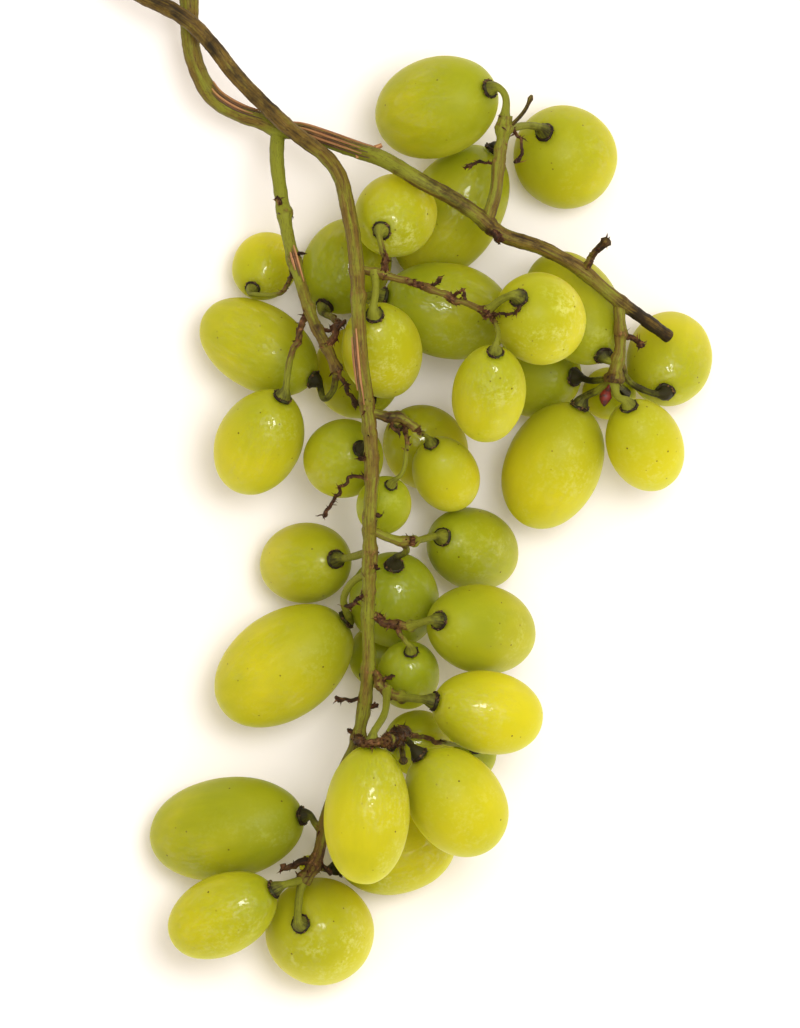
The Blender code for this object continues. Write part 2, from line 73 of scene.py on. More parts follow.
class Link:
    # a node output that works in sums
    def __init__(self, maker, socket):
        self.maker = maker
        self.socket = socket

    def work(self, operation, *others):
        return self.maker.node("ShaderNodeMath", dict(enumerate((self, *others))), operation=operation)

    def __add__(self, other):
        return self.work("ADD", other)

    def __sub__(self, other):
        return self.work("SUBTRACT", other)

    def __rsub__(self, other):
        return self.maker.node("ShaderNodeMath", {0: other, 1: self}, operation="SUBTRACT")

    def __mul__(self, other):
        return self.work("MULTIPLY", other)

    __radd__ = __add__
    __rmul__ = __mul__

    def grade(self, low, high, start=0.0, end=1.0):
        # smooth step from start at low to end at high
        sockets = {"Value": self, "From Min": low, "From Max": high, "To Min": start, "To Max": end}
        return self.maker.node("ShaderNodeMapRange", sockets, interpolation_type="SMOOTHSTEP")


class Maker:
    # adds nodes to a shader or geometry tree
    def __init__(self, tree, material=None):
        self.tree = tree
        self.material = material

    def node(self, kind, sockets=None, out=0, **settings):
        made = self.tree.nodes.new(kind)
        for name, value in settings.items():
            setattr(made, name, value)
        self.fill(made, sockets or {})
        return Link(self, self.find(made.outputs, out))

    def fill(self, made, sockets):
        # links or sets a node's inputs, and links each item of a list
        for key, value in sockets.items():
            target = self.find(made.inputs, key)
            for each in value if isinstance(value, list) else [value]:
                if isinstance(each, Link):
                    self.tree.links.new(each.socket, target)
                else:
                    target.default_value = each

    def find(self, sockets, key):
        # by place in the row, by identifier, or by the name of a socket in use
        if isinstance(key, int):
            return sockets[key]
        for socket in sockets:
            if socket.identifier == key:
                return socket
        return next(socket for socket in sockets if socket.name == key and socket.enabled)

    def paint(self, sockets):
        # fills the inputs of the material's shader and gives the material
        self.fill(self.tree.nodes["Principled BSDF"], sockets)
        return self.material

    def mix(self, factor, first, second):
        sockets = {"Factor_Float": factor, "A_Color": first, "B_Color": second}
        return self.node("ShaderNodeMix", sockets, "Result_Color", data_type="RGBA")

    def noise(self, place, scale, detail=2.0, roughness=0.5, out=0):
        sockets = {"Vector": place, "Scale": scale, "Detail": detail, "Roughness": roughness}
        return self.node("ShaderNodeTexNoise", sockets, out)

    def noises(self, table):
        # a noise for each row: its scale, and perhaps its detail and roughness
        made = SimpleNamespace()
        for coord, rows in table.items():
            place = self.objectPlace() if coord == "object" else self.attribute(coord, "Vector")
            for name, values in rows.items():
                setattr(made, name, self.noise(place, *values))
        return made

    def objectPlace(self):
        return self.node("ShaderNodeTexCoord", out="Object")

    def attribute(self, name, out="Fac"):
        return self.node("ShaderNodeAttribute", {}, out, attribute_name=name)

    def bump(self, strength, distance, height):
        return self.node("ShaderNodeBump", {"Strength": strength, "Distance": distance, "Height": height})

    def split(self, vector):
        return [self.node("ShaderNodeSeparateXYZ", {0: vector}, axis) for axis in "XYZ"]

    def combine(self, x, y, z):
        return self.node("ShaderNodeCombineXYZ", {0: x, 1: y, 2: z})

    def scaled(self, vector, factor):
        return self.node("ShaderNodeVectorMath", {0: vector, "Scale": factor}, operation="SCALE")

    def wander(self, scale, detail=2.0):
        # a vector that drifts about zero from place to place
        drift = self.noise(self.node("GeometryNodeInputPosition"), scale, detail, out="Color")
        return self.node("ShaderNodeVectorMath", {0: drift, 1: (-0.5, -0.5, -0.5)}, operation="ADD")

    def shift(self, geometry, offset):
        return self.node("GeometryNodeSetPosition", {"Geometry": geometry, "Offset": offset})

    def named(self, name, kind="FLOAT"):
        return self.node("GeometryNodeInputNamedAttribute", {"Name": name}, data_type=kind)

    def store(self, geometry, name, value, kind="FLOAT"):
        sockets = {"Geometry": geometry, "Name": name, "Value": value}
        return self.node("GeometryNodeStoreNamedAttribute", sockets, data_type=kind)

    def circle(self, sides, radius):
        return self.node("GeometryNodeCurvePrimitiveCircle", {"Resolution": sides, "Radius": radius})

    def scatter(self, mesh, density, seed, out="Points"):
        sockets = {"Mesh": mesh, "Density": density, "Seed": seed}
        return self.node("GeometryNodeDistributePointsOnFaces", sockets, out)

    def anyVector(self, limits, seed):
        sockets = {"Min": limits[0], "Max": limits[1], "Seed": seed}
        return self.node("FunctionNodeRandomValue", sockets, "Value", data_type="FLOAT_VECTOR")

    def copies(self, points, instance, scale, rotation=(0.0, 0.0, 0.0)):
        sockets = {"Points": points, "Instance": instance, "Scale": scale, "Rotation": rotation}
        placed = self.node("GeometryNodeInstanceOnPoints", sockets)
        return self.node("GeometryNodeRealizeInstances", {"Geometry": placed})


def newGeometryTree(name, values):
    # a tree with one input for each of the values
    group = bpy.data.node_groups.new(name, "GeometryNodeTree")
    group.interface.new_socket(name="Geometry", in_out="INPUT", socket_type="NodeSocketGeometry")
    for label, value in values.items():
        kind = {float: "Float", int: "Int"}.get(type(value), "Material")
        group.interface.new_socket(name=label, in_out="INPUT", socket_type="NodeSocket" + kind)
    group.interface.new_socket(name="Geometry", in_out="OUTPUT", socket_type="NodeSocketGeometry")
    maker = Maker(group)
    entry = group.nodes.new("NodeGroupInput")
    return maker, {socket.name: Link(maker, socket) for socket in entry.outputs if socket.name}


def closeTree(maker, parts, material):
    whole = maker.node("GeometryNodeJoinGeometry", {"Geometry": parts})
    smooth = maker.node("GeometryNodeSetShadeSmooth", {"Geometry": whole})
    solid = maker.node("GeometryNodeRealizeInstances", {"Geometry": smooth})
    painted = maker.node("GeometryNodeSetMaterial", {"Geometry": solid, "Material": material})
    maker.fill(maker.tree.nodes.new("NodeGroupOutput"), {0: painted})
    return maker.tree


def addObject(name, data):
    made = bpy.data.objects.new(name, data)
    scene.collection.objects.link(made)
    return made


def runTree(name, group, values, mesh=None):
    # a plain mesh from the tree, with its modifier gone
    source = addObject(name + "Source", mesh or bpy.data.meshes.new(name + "Source"))
    modifier = source.modifiers.new("shape", "NODES")
    modifier.node_group = group
    for item in group.interface.items_tree:
        if item.in_out == "INPUT" and item.name in values:
            modifier[item.identifier] = values[item.name]
    bpy.context.view_layer.update()
    result = bpy.data.meshes.new_from_object(source.evaluated_get(bpy.context.evaluated_depsgraph_get()))
    bpy.data.objects.remove(source)
    result.name = name
    return result


def getPoints(mesh, name="co"):
    points = np.zeros(len(mesh.vertices) * 3, dtype=np.float32)
    mesh.vertices.foreach_get(name, points)
    return points.reshape(-1, 3)


def setPoints(mesh, points):
    # puts the vertices in place, with none outside the solid model's box
    inside = np.clip(points, boxLow + boxMargin, boxHigh - boxMargin)
    inside[:, 2] = np.clip(points[:, 2], boxLow[2], boxHigh[2] - boxMargin)
    mesh.vertices.foreach_set("co", inside.ravel().astype(np.float32))
    mesh.update()


def setPointValues(mesh, name, values, kind="FLOAT"):
    layer = mesh.attributes.new(name, kind, "POINT")
    field = "value" if kind == "FLOAT" else "vector"
    layer.data.foreach_set(field, np.asarray(values, dtype=np.float32).ravel())


def addPiece(name, mesh, node):
    setPoints(mesh, getPoints(mesh))
    piece = addObject(name, mesh)
    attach(piece, "root")
    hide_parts(node)


def shade(red, green, blue):
    # screen colour, 0 to 255, as a linear one
    linear = [((c / 255 + 0.055) / 1.055) ** 2.4 if c > 10 else c / 255 / 12.92 for c in (red, green, blue)]
    return (*linear, 1.0)


def newMaterial(name):
    material = bpy.data.materials.new(name)
    material.use_nodes = True
    return Maker(material.node_tree, material)


def rising(values, low, high):
    # 0 up to low and 1 from high on, straight between
    return np.clip((values - low) / (high - low), 0.0, 1.0)


def eased(steps):
    return steps ** 2 * (3 - 2 * steps)


def bell(values, middle, width):
    return np.exp(-((values - middle) / width) ** 2)


# Each grape's length, width, heading and rise of the pedicel end, and in hundredths ripeness and the amount
# of wax bloom with its painted sheen
grapeLooks = {
    1: (27.6, 20.6, 18, 38, 47, 15), 2: (22.6, 21.0, 132, 57, 70, 25), 3: (30.4, 20.0, 56, 12, 45, 15),
    4: (20.0, 16.8, 230, 66, 72, 90), 5: (15.5, 13.2, 242, 50, 85, 40), 6: (20.6, 18.0, 242, 30, 35, 15),
    7: (27.0, 17.6, 329, 22, 52, 20), 8: (24.0, 17.4, 62, 34, 70, 35), 9: (4.0, 3.4, 60, 50, 50, 10),
    10: (20.0, 18.0, 290, 55, 70, 20), 11: (24.0, 16.4, 102, 55, 72, 80), 12: (27.2, 19.6, 168, 20, 33, 25),
    13: (20.6, 18.4, 137, 57, 75, 100), 14: (23.0, 15.0, 82, 45, 70, 55), 15: (27.6, 18.4, 301, 38, 45, 25),
    16: (19.2, 17.2, 357, 40, 40, 20), 17: (22.6, 17.6, 259, 54, 70, 30), 18: (11.6, 10.8, 0, 60, 60, 20),
    19: (27.0, 19.6, 66, 18, 75, 45), 20: (21.4, 15.6, 113, 40, 95, 45), 21: (18.4, 16.0, 28, 65, 42, 25),
    22: (19.2, 16.8, 135, 45, 75, 20), 23: (17.2, 13.4, 116, 42, 75, 50), 24: (13.2, 11.2, 70, 52, 28, 25),
    25: (24.0, 16.6, 7, 60, 60, 25), 26: (21.0, 18.4, 90, 50, 15, 15), 27: (26.0, 16.6, 159, 61, 35, 35),
    28: (27.6, 18.2, 168, 52, 46, 35), 29: (31.0, 21.6, 36, 10, 64, 25), 30: (13.8, 13.4, 235, 45, 36, 10),
    31: (16.0, 12.8, 83, 55, 25, 15), 32: (23.2, 17.0, 168, 22, 82, 30), 33: (14.8, 13.6, 180, 45, 45, 15),
    34: (13.2, 12.8, 30, 70, 28, 15), 35: (27.8, 17.4, 86, 8, 66, 55), 36: (24.2, 19.0, 128, 16, 70, 30),
    37: (24.4, 18.4, 197, 5, 72, 45), 38: (32.8, 21.0, 10, 22, 35, 25), 39: (24.0, 16.4, 27, 20, 58, 40),
    40: (24.5, 22.0, 150, 70, 92, 80),
}

# Top left corner of the stem in the plan's own millimetres, where its cut end is
cutEnd = {"left": -68.06, "top": 125.21}
stemLow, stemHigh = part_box("stem")
planShift = np.array([stemLow.x / mm - cutEnd["left"], stemHigh.y / mm - cutEnd["top"], 0.0])


class Grape:
    # one grape's place, half sizes and pedicel direction, in plan millimetres
    def __init__(self, number, length, width, heading, rise, ripeness, bloomAndSheen):
        self.number = number
        self.node = f"grape_{number:02d}"
        self.halfLength = length / 2
        self.halfWidth = width / 2
        self.ripeness = ripeness / 100
        self.bloomAndSheen = bloomAndSheen / 100
        flat = math.cos(math.radians(rise))
        turn = math.radians(heading)
        self.axis = np.array([flat * math.cos(turn), flat * math.sin(turn), math.sin(math.radians(rise))])
        corners = np.array([vertex.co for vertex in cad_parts[self.node].data.vertices]) / mm
        pole = corners[int(np.argmax(corners @ self.axis))]
        self.centre = pole - self.axis * self.halfLength - planShift

    def heights(self, x, y, grow):
        # lowest and highest z of the grown grape over each point, or nan beside it
        longTerm = 1 / (self.halfLength + grow) ** 2
        wideTerm = 1 / (self.halfWidth + grow) ** 2
        dx = x - self.centre[0]
        dy = y - self.centre[1]
        along = dx * self.axis[0] + dy * self.axis[1]
        extra = longTerm - wideTerm
        a = extra * self.axis[2] ** 2 + wideTerm
        b = 2 * extra * along * self.axis[2]
        c = extra * along ** 2 + wideTerm * (dx ** 2 + dy ** 2) - 1
        inside = b ** 2 - 4 * a * c
        root = np.sqrt(np.where(inside >= 0, inside, np.nan))
        return self.centre[2] + (-b - root) / (2 * a), self.centre[2] + (-b + root) / (2 * a)

    def pole(self, beyond=0.0):
        return self.centre + self.axis * (self.halfLength + beyond)

    def smallness(self, fullHalfWidth):
        # 1 for grapes of this half width or more, and less for smaller ones
        return min(1.0, self.halfWidth / fullHalfWidth)


grapes = {number: Grape(number, *row) for number, row in grapeLooks.items()}
print("grapes placed", len(grapes))


# Grape skin

skin = {
    # the bloom colour is the whitish wax bloom and also its painted sheen
    "greenSkin": shade(128, 136, 22), "ripeSkin": shade(198, 186, 30), "bloomAndSheenColour": shade(214, 212, 140),
    # painted rim light: the colour and strength that make the lower and right rims of each grape lighter
    # and yellower
    "paintedRimLightColour": shade(208, 212, 60), "paintedRimLight": 0.75, "topGreen": 0.6, "veil": 0.6,
    "speckColour": shade(84, 62, 16), "scarColour": shade(80, 52, 22), "roughness": 0.42,
    "specksPerMetre": 480.0, "speckSize": 0.13, "scarEdge": (0.9975, 0.9992), "bump": (0.12, 0.0004),
    "glint": 1.0,
    "shader": {"IOR": 1.42, "Subsurface Weight": 1.0, "Subsurface Radius": (0.85, 1.0, 0.12),
               "Subsurface Scale": 0.015, "Specular IOR Level": 0.16, "Coat Roughness": 0.05},
    "noises": {
        "object": {"patches": (90.0, 3.0), "cloud": (130.0,), "wax": (420.0, 5.0, 0.65), "fine": (1500.0,),
                   "grains": (1300.0, 3.0, 0.6), "shine": (50.0, 0.0)},
        "skinCoord": {"veins": (5.0, 3.0, 0.6), "smears": (11.0, 3.0, 0.6)},
    },
}


def makeSkin():
    make = newMaterial("grapeSkin")
    noise = make.noises(skin["noises"])
    ripeness = make.attribute("ripeness")
    along = make.attribute("poleWard")
    tone = (ripeness + (noise.patches - 0.5) * 0.45 + (noise.veins - 0.5) * 0.22).grade(0.0, 1.0)
    colour = make.mix(tone, skin["greenSkin"], skin["ripeSkin"])
    colour = make.mix(along.grade(-0.3, 1.0, 0.0, skin["topGreen"]), colour, skin["greenSkin"])
    # painted rim light: the lower and right rims made lighter, standing in for light shining through the
    # grape
    paintedRimLight = make.attribute("paintedRimLight") * (ripeness * 0.6 + 0.25) * skin["paintedRimLight"]
    colour = make.mix(paintedRimLight, colour, skin["paintedRimLightColour"])
    # whitish wax bloom kept to the lower right side of each grape, where light catches it: real bloom and
    # painted sheen together
    powder = (noise.wax * 0.5 + noise.grains * 0.5).grade(0.45, 0.66)
    bloomAndSheen = make.attribute("bloomAndSheen") * powder * noise.cloud.grade(0.35, 0.62) * skin["veil"]
    colour = make.mix(bloomAndSheen, colour, skin["bloomAndSheenColour"])
    cells = {"Vector": make.objectPlace(), "Scale": skin["specksPerMetre"]}
    spots = make.node("ShaderNodeTexVoronoi", cells, "Distance")
    pick = make.node("ShaderNodeTexVoronoi", cells, "Color")
    chosen = make.node("ShaderNodeSeparateColor", {0: pick}).grade(0.6, 1.0)
    specks = (1 - spots.grade(skin["speckSize"] * 0.5, skin["speckSize"])) * chosen
    colour = make.mix(specks, colour, skin["speckColour"])
    colour = make.mix((along * -1).grade(*skin["scarEdge"]), colour, skin["scarColour"])
    shine = noise.shine.grade(0.42, 0.56) * make.attribute("facingUp")
    glint = (noise.smears * 0.5 + noise.grains * 0.5).grade(0.48, 0.56, 0.02, skin["glint"]) * shine
    return make.paint({
        **skin["shader"], "Base Color": colour, "Coat Weight": glint,
        "Roughness": (noise.wax - 0.5) * 0.3 + bloomAndSheen * 0.25 + skin["roughness"],
        "Normal": make.bump(*skin["bump"], noise.fine * 0.25 + noise.veins + noise.wax * 0.3),
    })


# Grapes, turned from one rule with a pit at the pedicel and a soft unevenness of their own

berry = {"taper": 0.05, "pit": 0.55, "fullPitHalfWidth": 6.0, "unevenness": 0.05, "unevenScale": 1.1,
         "pitTightness": 20, "tipTightness": 45, "tipDepth": 0.3, "segments": 64, "rings": 40,
         # the side and range where the wax bloom with its painted sheen sits on every grape
         "seedStep": 3.7, "bloomSheenSide": (0.62, -0.62, 0.48), "bloomSheenFrom": (-0.1, 0.8),
         # the side and range where the painted rim light falls on every grape
         "paintedRimLightSide": (0.15, -0.5, -0.85), "paintedRimLightFrom": (-0.45, 0.5), "upFrom": (0.45, 0.8)}


def grapeValues(grape, material):
    return {
        "Half Length": grape.halfLength * mm, "Half Width": grape.halfWidth * mm, "Taper": berry["taper"],
        "Pit Depth": berry["pit"] * mm * grape.smallness(berry["fullPitHalfWidth"]),
        "Unevenness": berry["unevenness"], "Seed": grape.number * berry["seedStep"], "Skin": material}


def makeGrapeTree(values):
    make, port = newGeometryTree("grapeShape", values)
    ball = make.node("GeometryNodeMeshUVSphere", {"Segments": berry["segments"], "Rings": berry["rings"]})
    place = make.node("GeometryNodeInputPosition")
    x, y, z = make.split(place)
    sockets = {"Vector": place, "W": port["Seed"], "Scale": berry["unevenScale"], "Detail": 1.0}
    wobble = make.node("ShaderNodeTexNoise", sockets, noise_dimensions="4D") - 0.5
    swell = wobble * port["Unevenness"] + 1
    across = port["Half Width"] * (1 - port["Taper"] * (z + 1) * 0.5) * swell
    spread = x * x + y * y
    pit = port["Pit Depth"] * (spread * -berry["pitTightness"]).work("EXPONENT") * z.work("GREATER_THAN", 0)
    tip = port["Pit Depth"] * (spread * -berry["tipTightness"]).work("EXPONENT") * z.work("LESS_THAN", 0)
    height = z * port["Half Length"] * swell - pit + tip * berry["tipDepth"]
    marked = make.store(ball, "poleWard", z)
    marked = make.store(marked, "skinCoord", make.combine(x, y, z * 0.22 + port["Seed"]), "FLOAT_VECTOR")
    moved = make.combine(x * across, y * across, height)
    shaped = make.node("GeometryNodeSetPosition", {"Geometry": marked, "Position": moved})
    return closeTree(make, [shaped], port["Skin"])


def makeGrape(grape, tree, material):
    mesh = runTree("berry_" + grape.node[-2:], tree, grapeValues(grape, material))
    turn = Vector(grape.axis).to_track_quat("Z", "Y").to_matrix().to_4x4()
    mesh.transform(Matrix.Translation(Vector((grape.centre + planShift) * mm)) @ turn)
    points = getPoints(mesh)
    points[:, 2] = np.maximum(points[:, 2], max(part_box(grape.node)[0].z, 0.0))
    # a grape that would pass the box is moved back inside it
    beyond = np.maximum(points.max(axis=0) - boxHigh, 0.0) - np.maximum(boxLow - points.min(axis=0), 0.0)
    setPoints(mesh, points - beyond * 1.1)
    outward = getPoints(mesh, "normal")
    # how far each point faces the sides of the painted sheen and the painted rim light
    sheenFacing, rimLightFacing = (outward @ Vector(berry[side]).normalized() for side in ("bloomSheenSide", "paintedRimLightSide"))
    setPointValues(mesh, "paintedRimLight", eased(rising(rimLightFacing, *berry["paintedRimLightFrom"])))
    setPointValues(mesh, "facingUp", rising(outward[:, 2], *berry["upFrom"]))
    # wax bloom with painted sheen, on the lower right side only
    setPointValues(mesh, "bloomAndSheen", grape.bloomAndSheen * rising(sheenFacing, *berry["bloomSheenFrom"]))
    setPointValues(mesh, "ripeness", np.full(len(points), grape.ripeness))
    addPiece(mesh.name, mesh, grape.node)


skinMaterial = makeSkin()
grapeTree = makeGrapeTree(grapeValues(grapes[1], skinMaterial))
for grape in grapes.values():
    makeGrape(grape, grapeTree, skinMaterial)
print("grapes made")


# Routes of the stem in plan millimetres, the same ones as the solid stem's

stem = {
    "capGap": 0.4, "pedicelRadius": 0.75, "clearance": 0.55, "step": 0.6, "pullSweeps": 3000,
    "finish": 0.7, "shownPedicel": 0.66, "fullPedicelHalfWidth": 5.0, "fullCapHalfWidth": 8.5,
    "flareLength": 2.8, "flarePart": 0.6, "flareRadius": 1.66, "flarePower": 1.4,
    "knuckle": 0.35, "knuckleLength": 1.3, "knuckleRust": 0.5, "fullKnuckleRadius": 0.9,
    "pedicelFoot": 0.8, "pedicelFootLength": 1.0, "stubThickness": 0.72,
}

# Bark along each stalk at even steps: how woody, how rusty and how dark it is, in tenths
stalkBark = {
    "peduncle": [(8, 1, 3)],
    "right": [(7, 1, 3), (6, 1, 2), (5, 1, 0), (5, 1, 0), (5, 1, 0), (5, 1, 0), (5, 2, 1), (3, 2, 0),
              (4, 1, 1), (2, 1, 0), (2, 1, 2), (3, 1, 4), (5, 0, 4), (5, 0, 4), (7, 1, 4), (6, 1, 2),
              (4, 1, 0), (9, 3, 9), (9, 4, 7)],
    "long": [(9, 2, 6), (8, 2, 5), (7, 1, 4), (5, 1, 1), (5, 0, 1), (5, 1, 1), (4, 1, 1), (5, 1, 2),
             (6, 6, 3)],
    "left": [(1, 0, 0), (1, 0, 0), (2, 1, 0), (3, 1, 1), (5, 2, 3), (7, 4, 5)],
    "upperTwig": [(5, 1, 1), (4, 1, 1), (4, 4, 2), (3, 1, 1)],
    "endTwig": [(5, 0, 0), (4, 0, 0), (5, 2, 4)],
    "twig1": [(6, 5, 3), (6, 1, 1), (6, 2, 1), (6, 8, 3), (6, 2, 1), (6, 8, 3), (6, 2, 1), (6, 9, 3)],
    "twig2": [(4, 2, 2), (4, 5, 4), (5, 5, 4)],
    "twig3": [(6, 9, 3), (3, 2, 1), (3, 3, 1), (5, 9, 2)],
    "twig4": [(6, 7, 3), (6, 7, 3), (5, 4, 2)],
    "twig5": [(6, 7, 3), (6, 6, 3), (4, 4, 2)],
    "twig6": [(7, 7, 5), (7, 7, 4), (6, 7, 5)],
    "lowTwig": [(7, 6, 4), (7, 7, 4)],
}

# The same for the kinds of pedicel, from the twig to the cap, and how thick each kind is
pedicelBark = {
    "fresh": ([(2, 2, 0), (0, 0, 0), (0, 0, 2), (0, 0, 5)], 1.08),
    "plain": ([(4, 4, 2), (1, 1, 2), (1, 0, 3.5), (1, 1, 6)], 1.16),
    "rusty": ([(6, 8, 3), (6, 7, 3), (3, 3, 3), (0, 0, 5)], 1.0),
    "black": ([(5, 6, 3), (2, 3, 5), (1, 1, 7.5), (1, 1, 10)], 1.0),
    "thin": ([(5, 8, 3), (2, 6, 2), (1, 1, 2), (0, 0, 5)], 0.7),
}

# Parent, radius at the start and the end, and plan points, some of them with a height
stalks = {
    "peduncle": (None, 2.5, 2.3, [(-66.0, 123.8, 12.0), (-63.4, 120.0, 12.3), (-60.6, 116.0, 12.5)]),
    "right": (None, 2.0, 1.3, [
        (-61.6, 117.4, 12.5), (-55.6, 116.0, 12.6), (-50.4, 113.8, 12.6), (-46.0, 110.8, 12.6),
        (-43.2, 106.8, 12.6), (-42.2, 102.8, 12.6), (-42.2, 98.8, 12.6), (-42.0, 94.8, 12.8),
        (-41.2, 90.8, 13.2), (-39.6, 86.8, 13.8), (-37.4, 83.4, 14.4), (-34.4, 81.2, 15.0),
        (-31.0, 79.6, 15.6), (-27.6, 78.6, 16.2), (-24.4, 76.8, 17.0), (-20.0, 76.4), (-14.0, 74.4),
        (-8.0, 72.2), (-3.0, 70.4), (4.6, 65.8), (10.0, 63.0), (16.0, 59.0), (20.0, 55.6),
        (24.0, 54.2), (28.0, 53.0), (32.0, 51.0), (36.0, 48.6), (40.0, 45.2), (44.0, 42.0),
        (47.0, 40.0), (53.6, 35.4)]),
    "long": (None, 1.7, 1.15, [
        (-61.6, 117.4, 12.6), (-60.0, 112.8, 13.2), (-58.0, 108.8, 14.0), (-54.4, 105.4, 15.0),
        (-50.0, 102.8, 16.2), (-45.0, 100.4, 17.2), (-41.0, 97.4, 17.7), (-36.8, 92.8, 18.0),
        (-33.8, 88.8, 18.6), (-30.2, 84.8, 19.6), (-26.2, 80.8, 20.8), (-22.4, 77.2, 21.6),
        (-19.4, 74.8), (-14.4, 70.8), (-11.8, 66.8), (-10.8, 62.8), (-10.0, 58.8), (-9.2, 54.8),
        (-8.4, 46.8), (-8.2, 38.8), (-7.8, 32.8), (-7.2, 26.8), (-6.6, 22.8), (-5.8, 14.8),
        (-5.6, 6.8), (-6.0, -1.2), (-6.0, -9.2), (-6.4, -21.2), (-6.2, -29.2), (-7.0, -37.2),
        (-8.6, -45.2), (-11.4, -51.2), (-13.4, -56.2), (-15.0, -61.2), (-15.6, -64.8),
        (-16.4, -68.2), (-17.6, -70.8), (-19.4, -73.2, 15.0)]),
    "left": ("right", 1.5, 1.0, [
        (-24.4, 76.4), (-24.6, 70.8), (-23.6, 62.8), (-22.2, 54.8), (-20.0, 46.8), (-17.4, 38.8),
        (-14.4, 32.8), (-12.4, 28.4)]),
    "upperTwig": ("right", 1.3, 1.1, [
        (17.4, 58.4), (19.0, 63.8), (19.4, 67.8), (20.0, 71.8), (20.6, 75.8), (21.0, 79.2)]),
    "endTwig": ("right", 1.2, 1.0, [(43.6, 41.4), (43.8, 32.8), (43.0, 29.4), (42.5, 26.2)]),
    "twig1": ("long", 0.75, 0.6, [(-8.4, 48.6), (-3.4, 47.4), (4.0, 45.2), (12.0, 42.2), (17.6, 39.8)]),
    "twig2": ("long", 0.9, 0.7, [(-6.4, 20.4), (-2.4, 19.2), (1.6, 18.8), (3.2, 16.8)]),
    "twig3": ("long", 0.9, 0.8, [(-6.2, -3.4), (-3.0, -4.4), (0.0, -5.4), (3.0, -5.4)]),
    "twig4": ("long", 0.9, 0.7, [(-6.2, -20.0), (-3.0, -21.6), (-0.4, -22.2), (2.4, -22.2)]),
    "twig5": ("long", 0.9, 0.8, [(-6.4, -30.6), (-4.4, -32.6), (-2.4, -35.4), (0.6, -36.4)]),
    "twig6": ("long", 0.8, 0.8, [(-8.4, -44.8), (-4.4, -45.4), (-1.6, -44.4), (0.6, -43.8)]),
    "lowTwig": ("long", 0.7, 0.6, [(-17.2, -69.6), (-20.0, -69.6), (-23.0, -71.2), (-23.4, -69.8)]),
}

# Grape, parent, plan points, straight run out of the grape and kind of bark
pedicels = [
    (1, "upperTwig", [(20.8, 78.8), (21.2, 82.2), (20.6, 84.0)], 2.2, "fresh"),
    (2, "upperTwig", [(21.0, 76.4), (25.0, 77.4)], 2.4, "plain"),
    (3, "upperTwig", [(20.0, 72.4)], 1.2, "black"),
    (4, "twig1", [(-3.4, 47.4), (-2.8, 50.0)], 2.6, "rusty"),
    (5, "left", [(-20.8, 49.6), (-23.4, 44.2)], 2.4, "thin"),
    (6, "left", [(-14.6, 33.2), (-13.0, 35.2), (-12.8, 38.4)], 1.8, "rusty"),
    (7, "left", [(-12.6, 28.6), (-13.2, 24.8), (-15.2, 22.8)], 1.8, "black"),
    (8, "left", [(-18.2, 40.6), (-20.4, 34.8), (-22.0, 30.4)], 1.8, "rusty"),
    (9, "lowTwig", [(-18.4, -69.6)], 0.8, "thin"),
    (10, "long", [(-6.6, 22.6)], 2.0, "plain"),
    (11, "twig1", [(-5.0, 47.8), (-4.8, 44.0)], 2.4, "fresh"),
    (12, "long", [(-8.4, 42.8)], 2.2, "plain"),
    (13, "twig1", [(17.2, 40.0), (20.0, 42.4)], 2.2, "plain"),
    (14, "twig1", [(17.4, 39.8), (19.4, 36.4)], 2.4, "thin"),
    (15, "endTwig", [(43.0, 30.4)], 2.2, "black"),
    (16, "endTwig", [(42.6, 27.0), (38.0, 26.6)], 2.2, "black"),
    (17, "endTwig", [(43.4, 31.0), (45.4, 26.6), (49.4, 24.4)], 1.4, "black"),
    (18, "endTwig", [(42.6, 26.6)], 1.6, "black"),
    (19, "endTwig", [(42.8, 27.6), (40.0, 25.0)], 2.2, "plain"),
    (20, "endTwig", [(42.6, 26.0), (43.2, 23.0)], 2.2, "fresh"),
    (21, "long", [(-6.0, 16.8)], 2.2, "black"),
    (22, "twig2", [(-0.4, 18.9)], 1.6, "plain"),
    (23, "twig2", [(3.0, 17.0)], 2.2, "thin"),
    (24, "twig2", [(0.8, 18.8), (1.4, 13.2), (0.4, 7.8)], 2.0, "thin"),
    (25, "long", [(-6.0, -7.4), (-9.0, -8.4)], 2.2, "plain"),
    (26, "twig3", [(0.4, -5.4), (1.4, -7.4)], 2.4, "black"),
    (27, "twig3", [(2.8, -5.4)], 2.2, "fresh"),
    (28, "twig4", [(2.2, -22.2)], 2.2, "plain"),
    (29, "long", [(-6.2, -11.6), (-9.4, -13.4), (-11.3, -17.0)], 0.9, "fresh"),
    (30, "long", [(-6.2, -31.4)], 1.6, "plain"),
    (31, "twig4", [(-0.6, -22.2), (0.8, -25.2)], 2.2, "thin"),
    (32, "twig5", [(0.4, -36.4)], 2.2, "plain"),
    (33, "twig6", [(-2.0, -44.6)], 1.6, "black"),
    (34, "twig6", [(0.4, -43.8), (5.0, -45.0), (11.0, -46.0)], 1.4, "thin"),
    (35, "twig5", [(-2.6, -35.0), (-3.0, -39.4)], 2.4, "fresh"),
    (36, "twig6", [(0.4, -43.8)], 2.0, "black"),
    (37, "long", [(-17.0, -70.2)], 2.0, "black"),
    (38, "long", [(-15.8, -62.6), (-17.0, -61.8)], 2.2, "black"),
    (39, "long", [(-19.2, -73.0)], 2.2, "plain"),
    (40, "long", [(-19.2, -73.0), (-20.0, -75.4)], 2.4, "plain"),
]

# Grapes that a stalk or the pedicel of a grape passes under
passedUnder = {"long": (35,), 12: (11,), 34: (32, 36), 37: (35,), 38: (35,)}

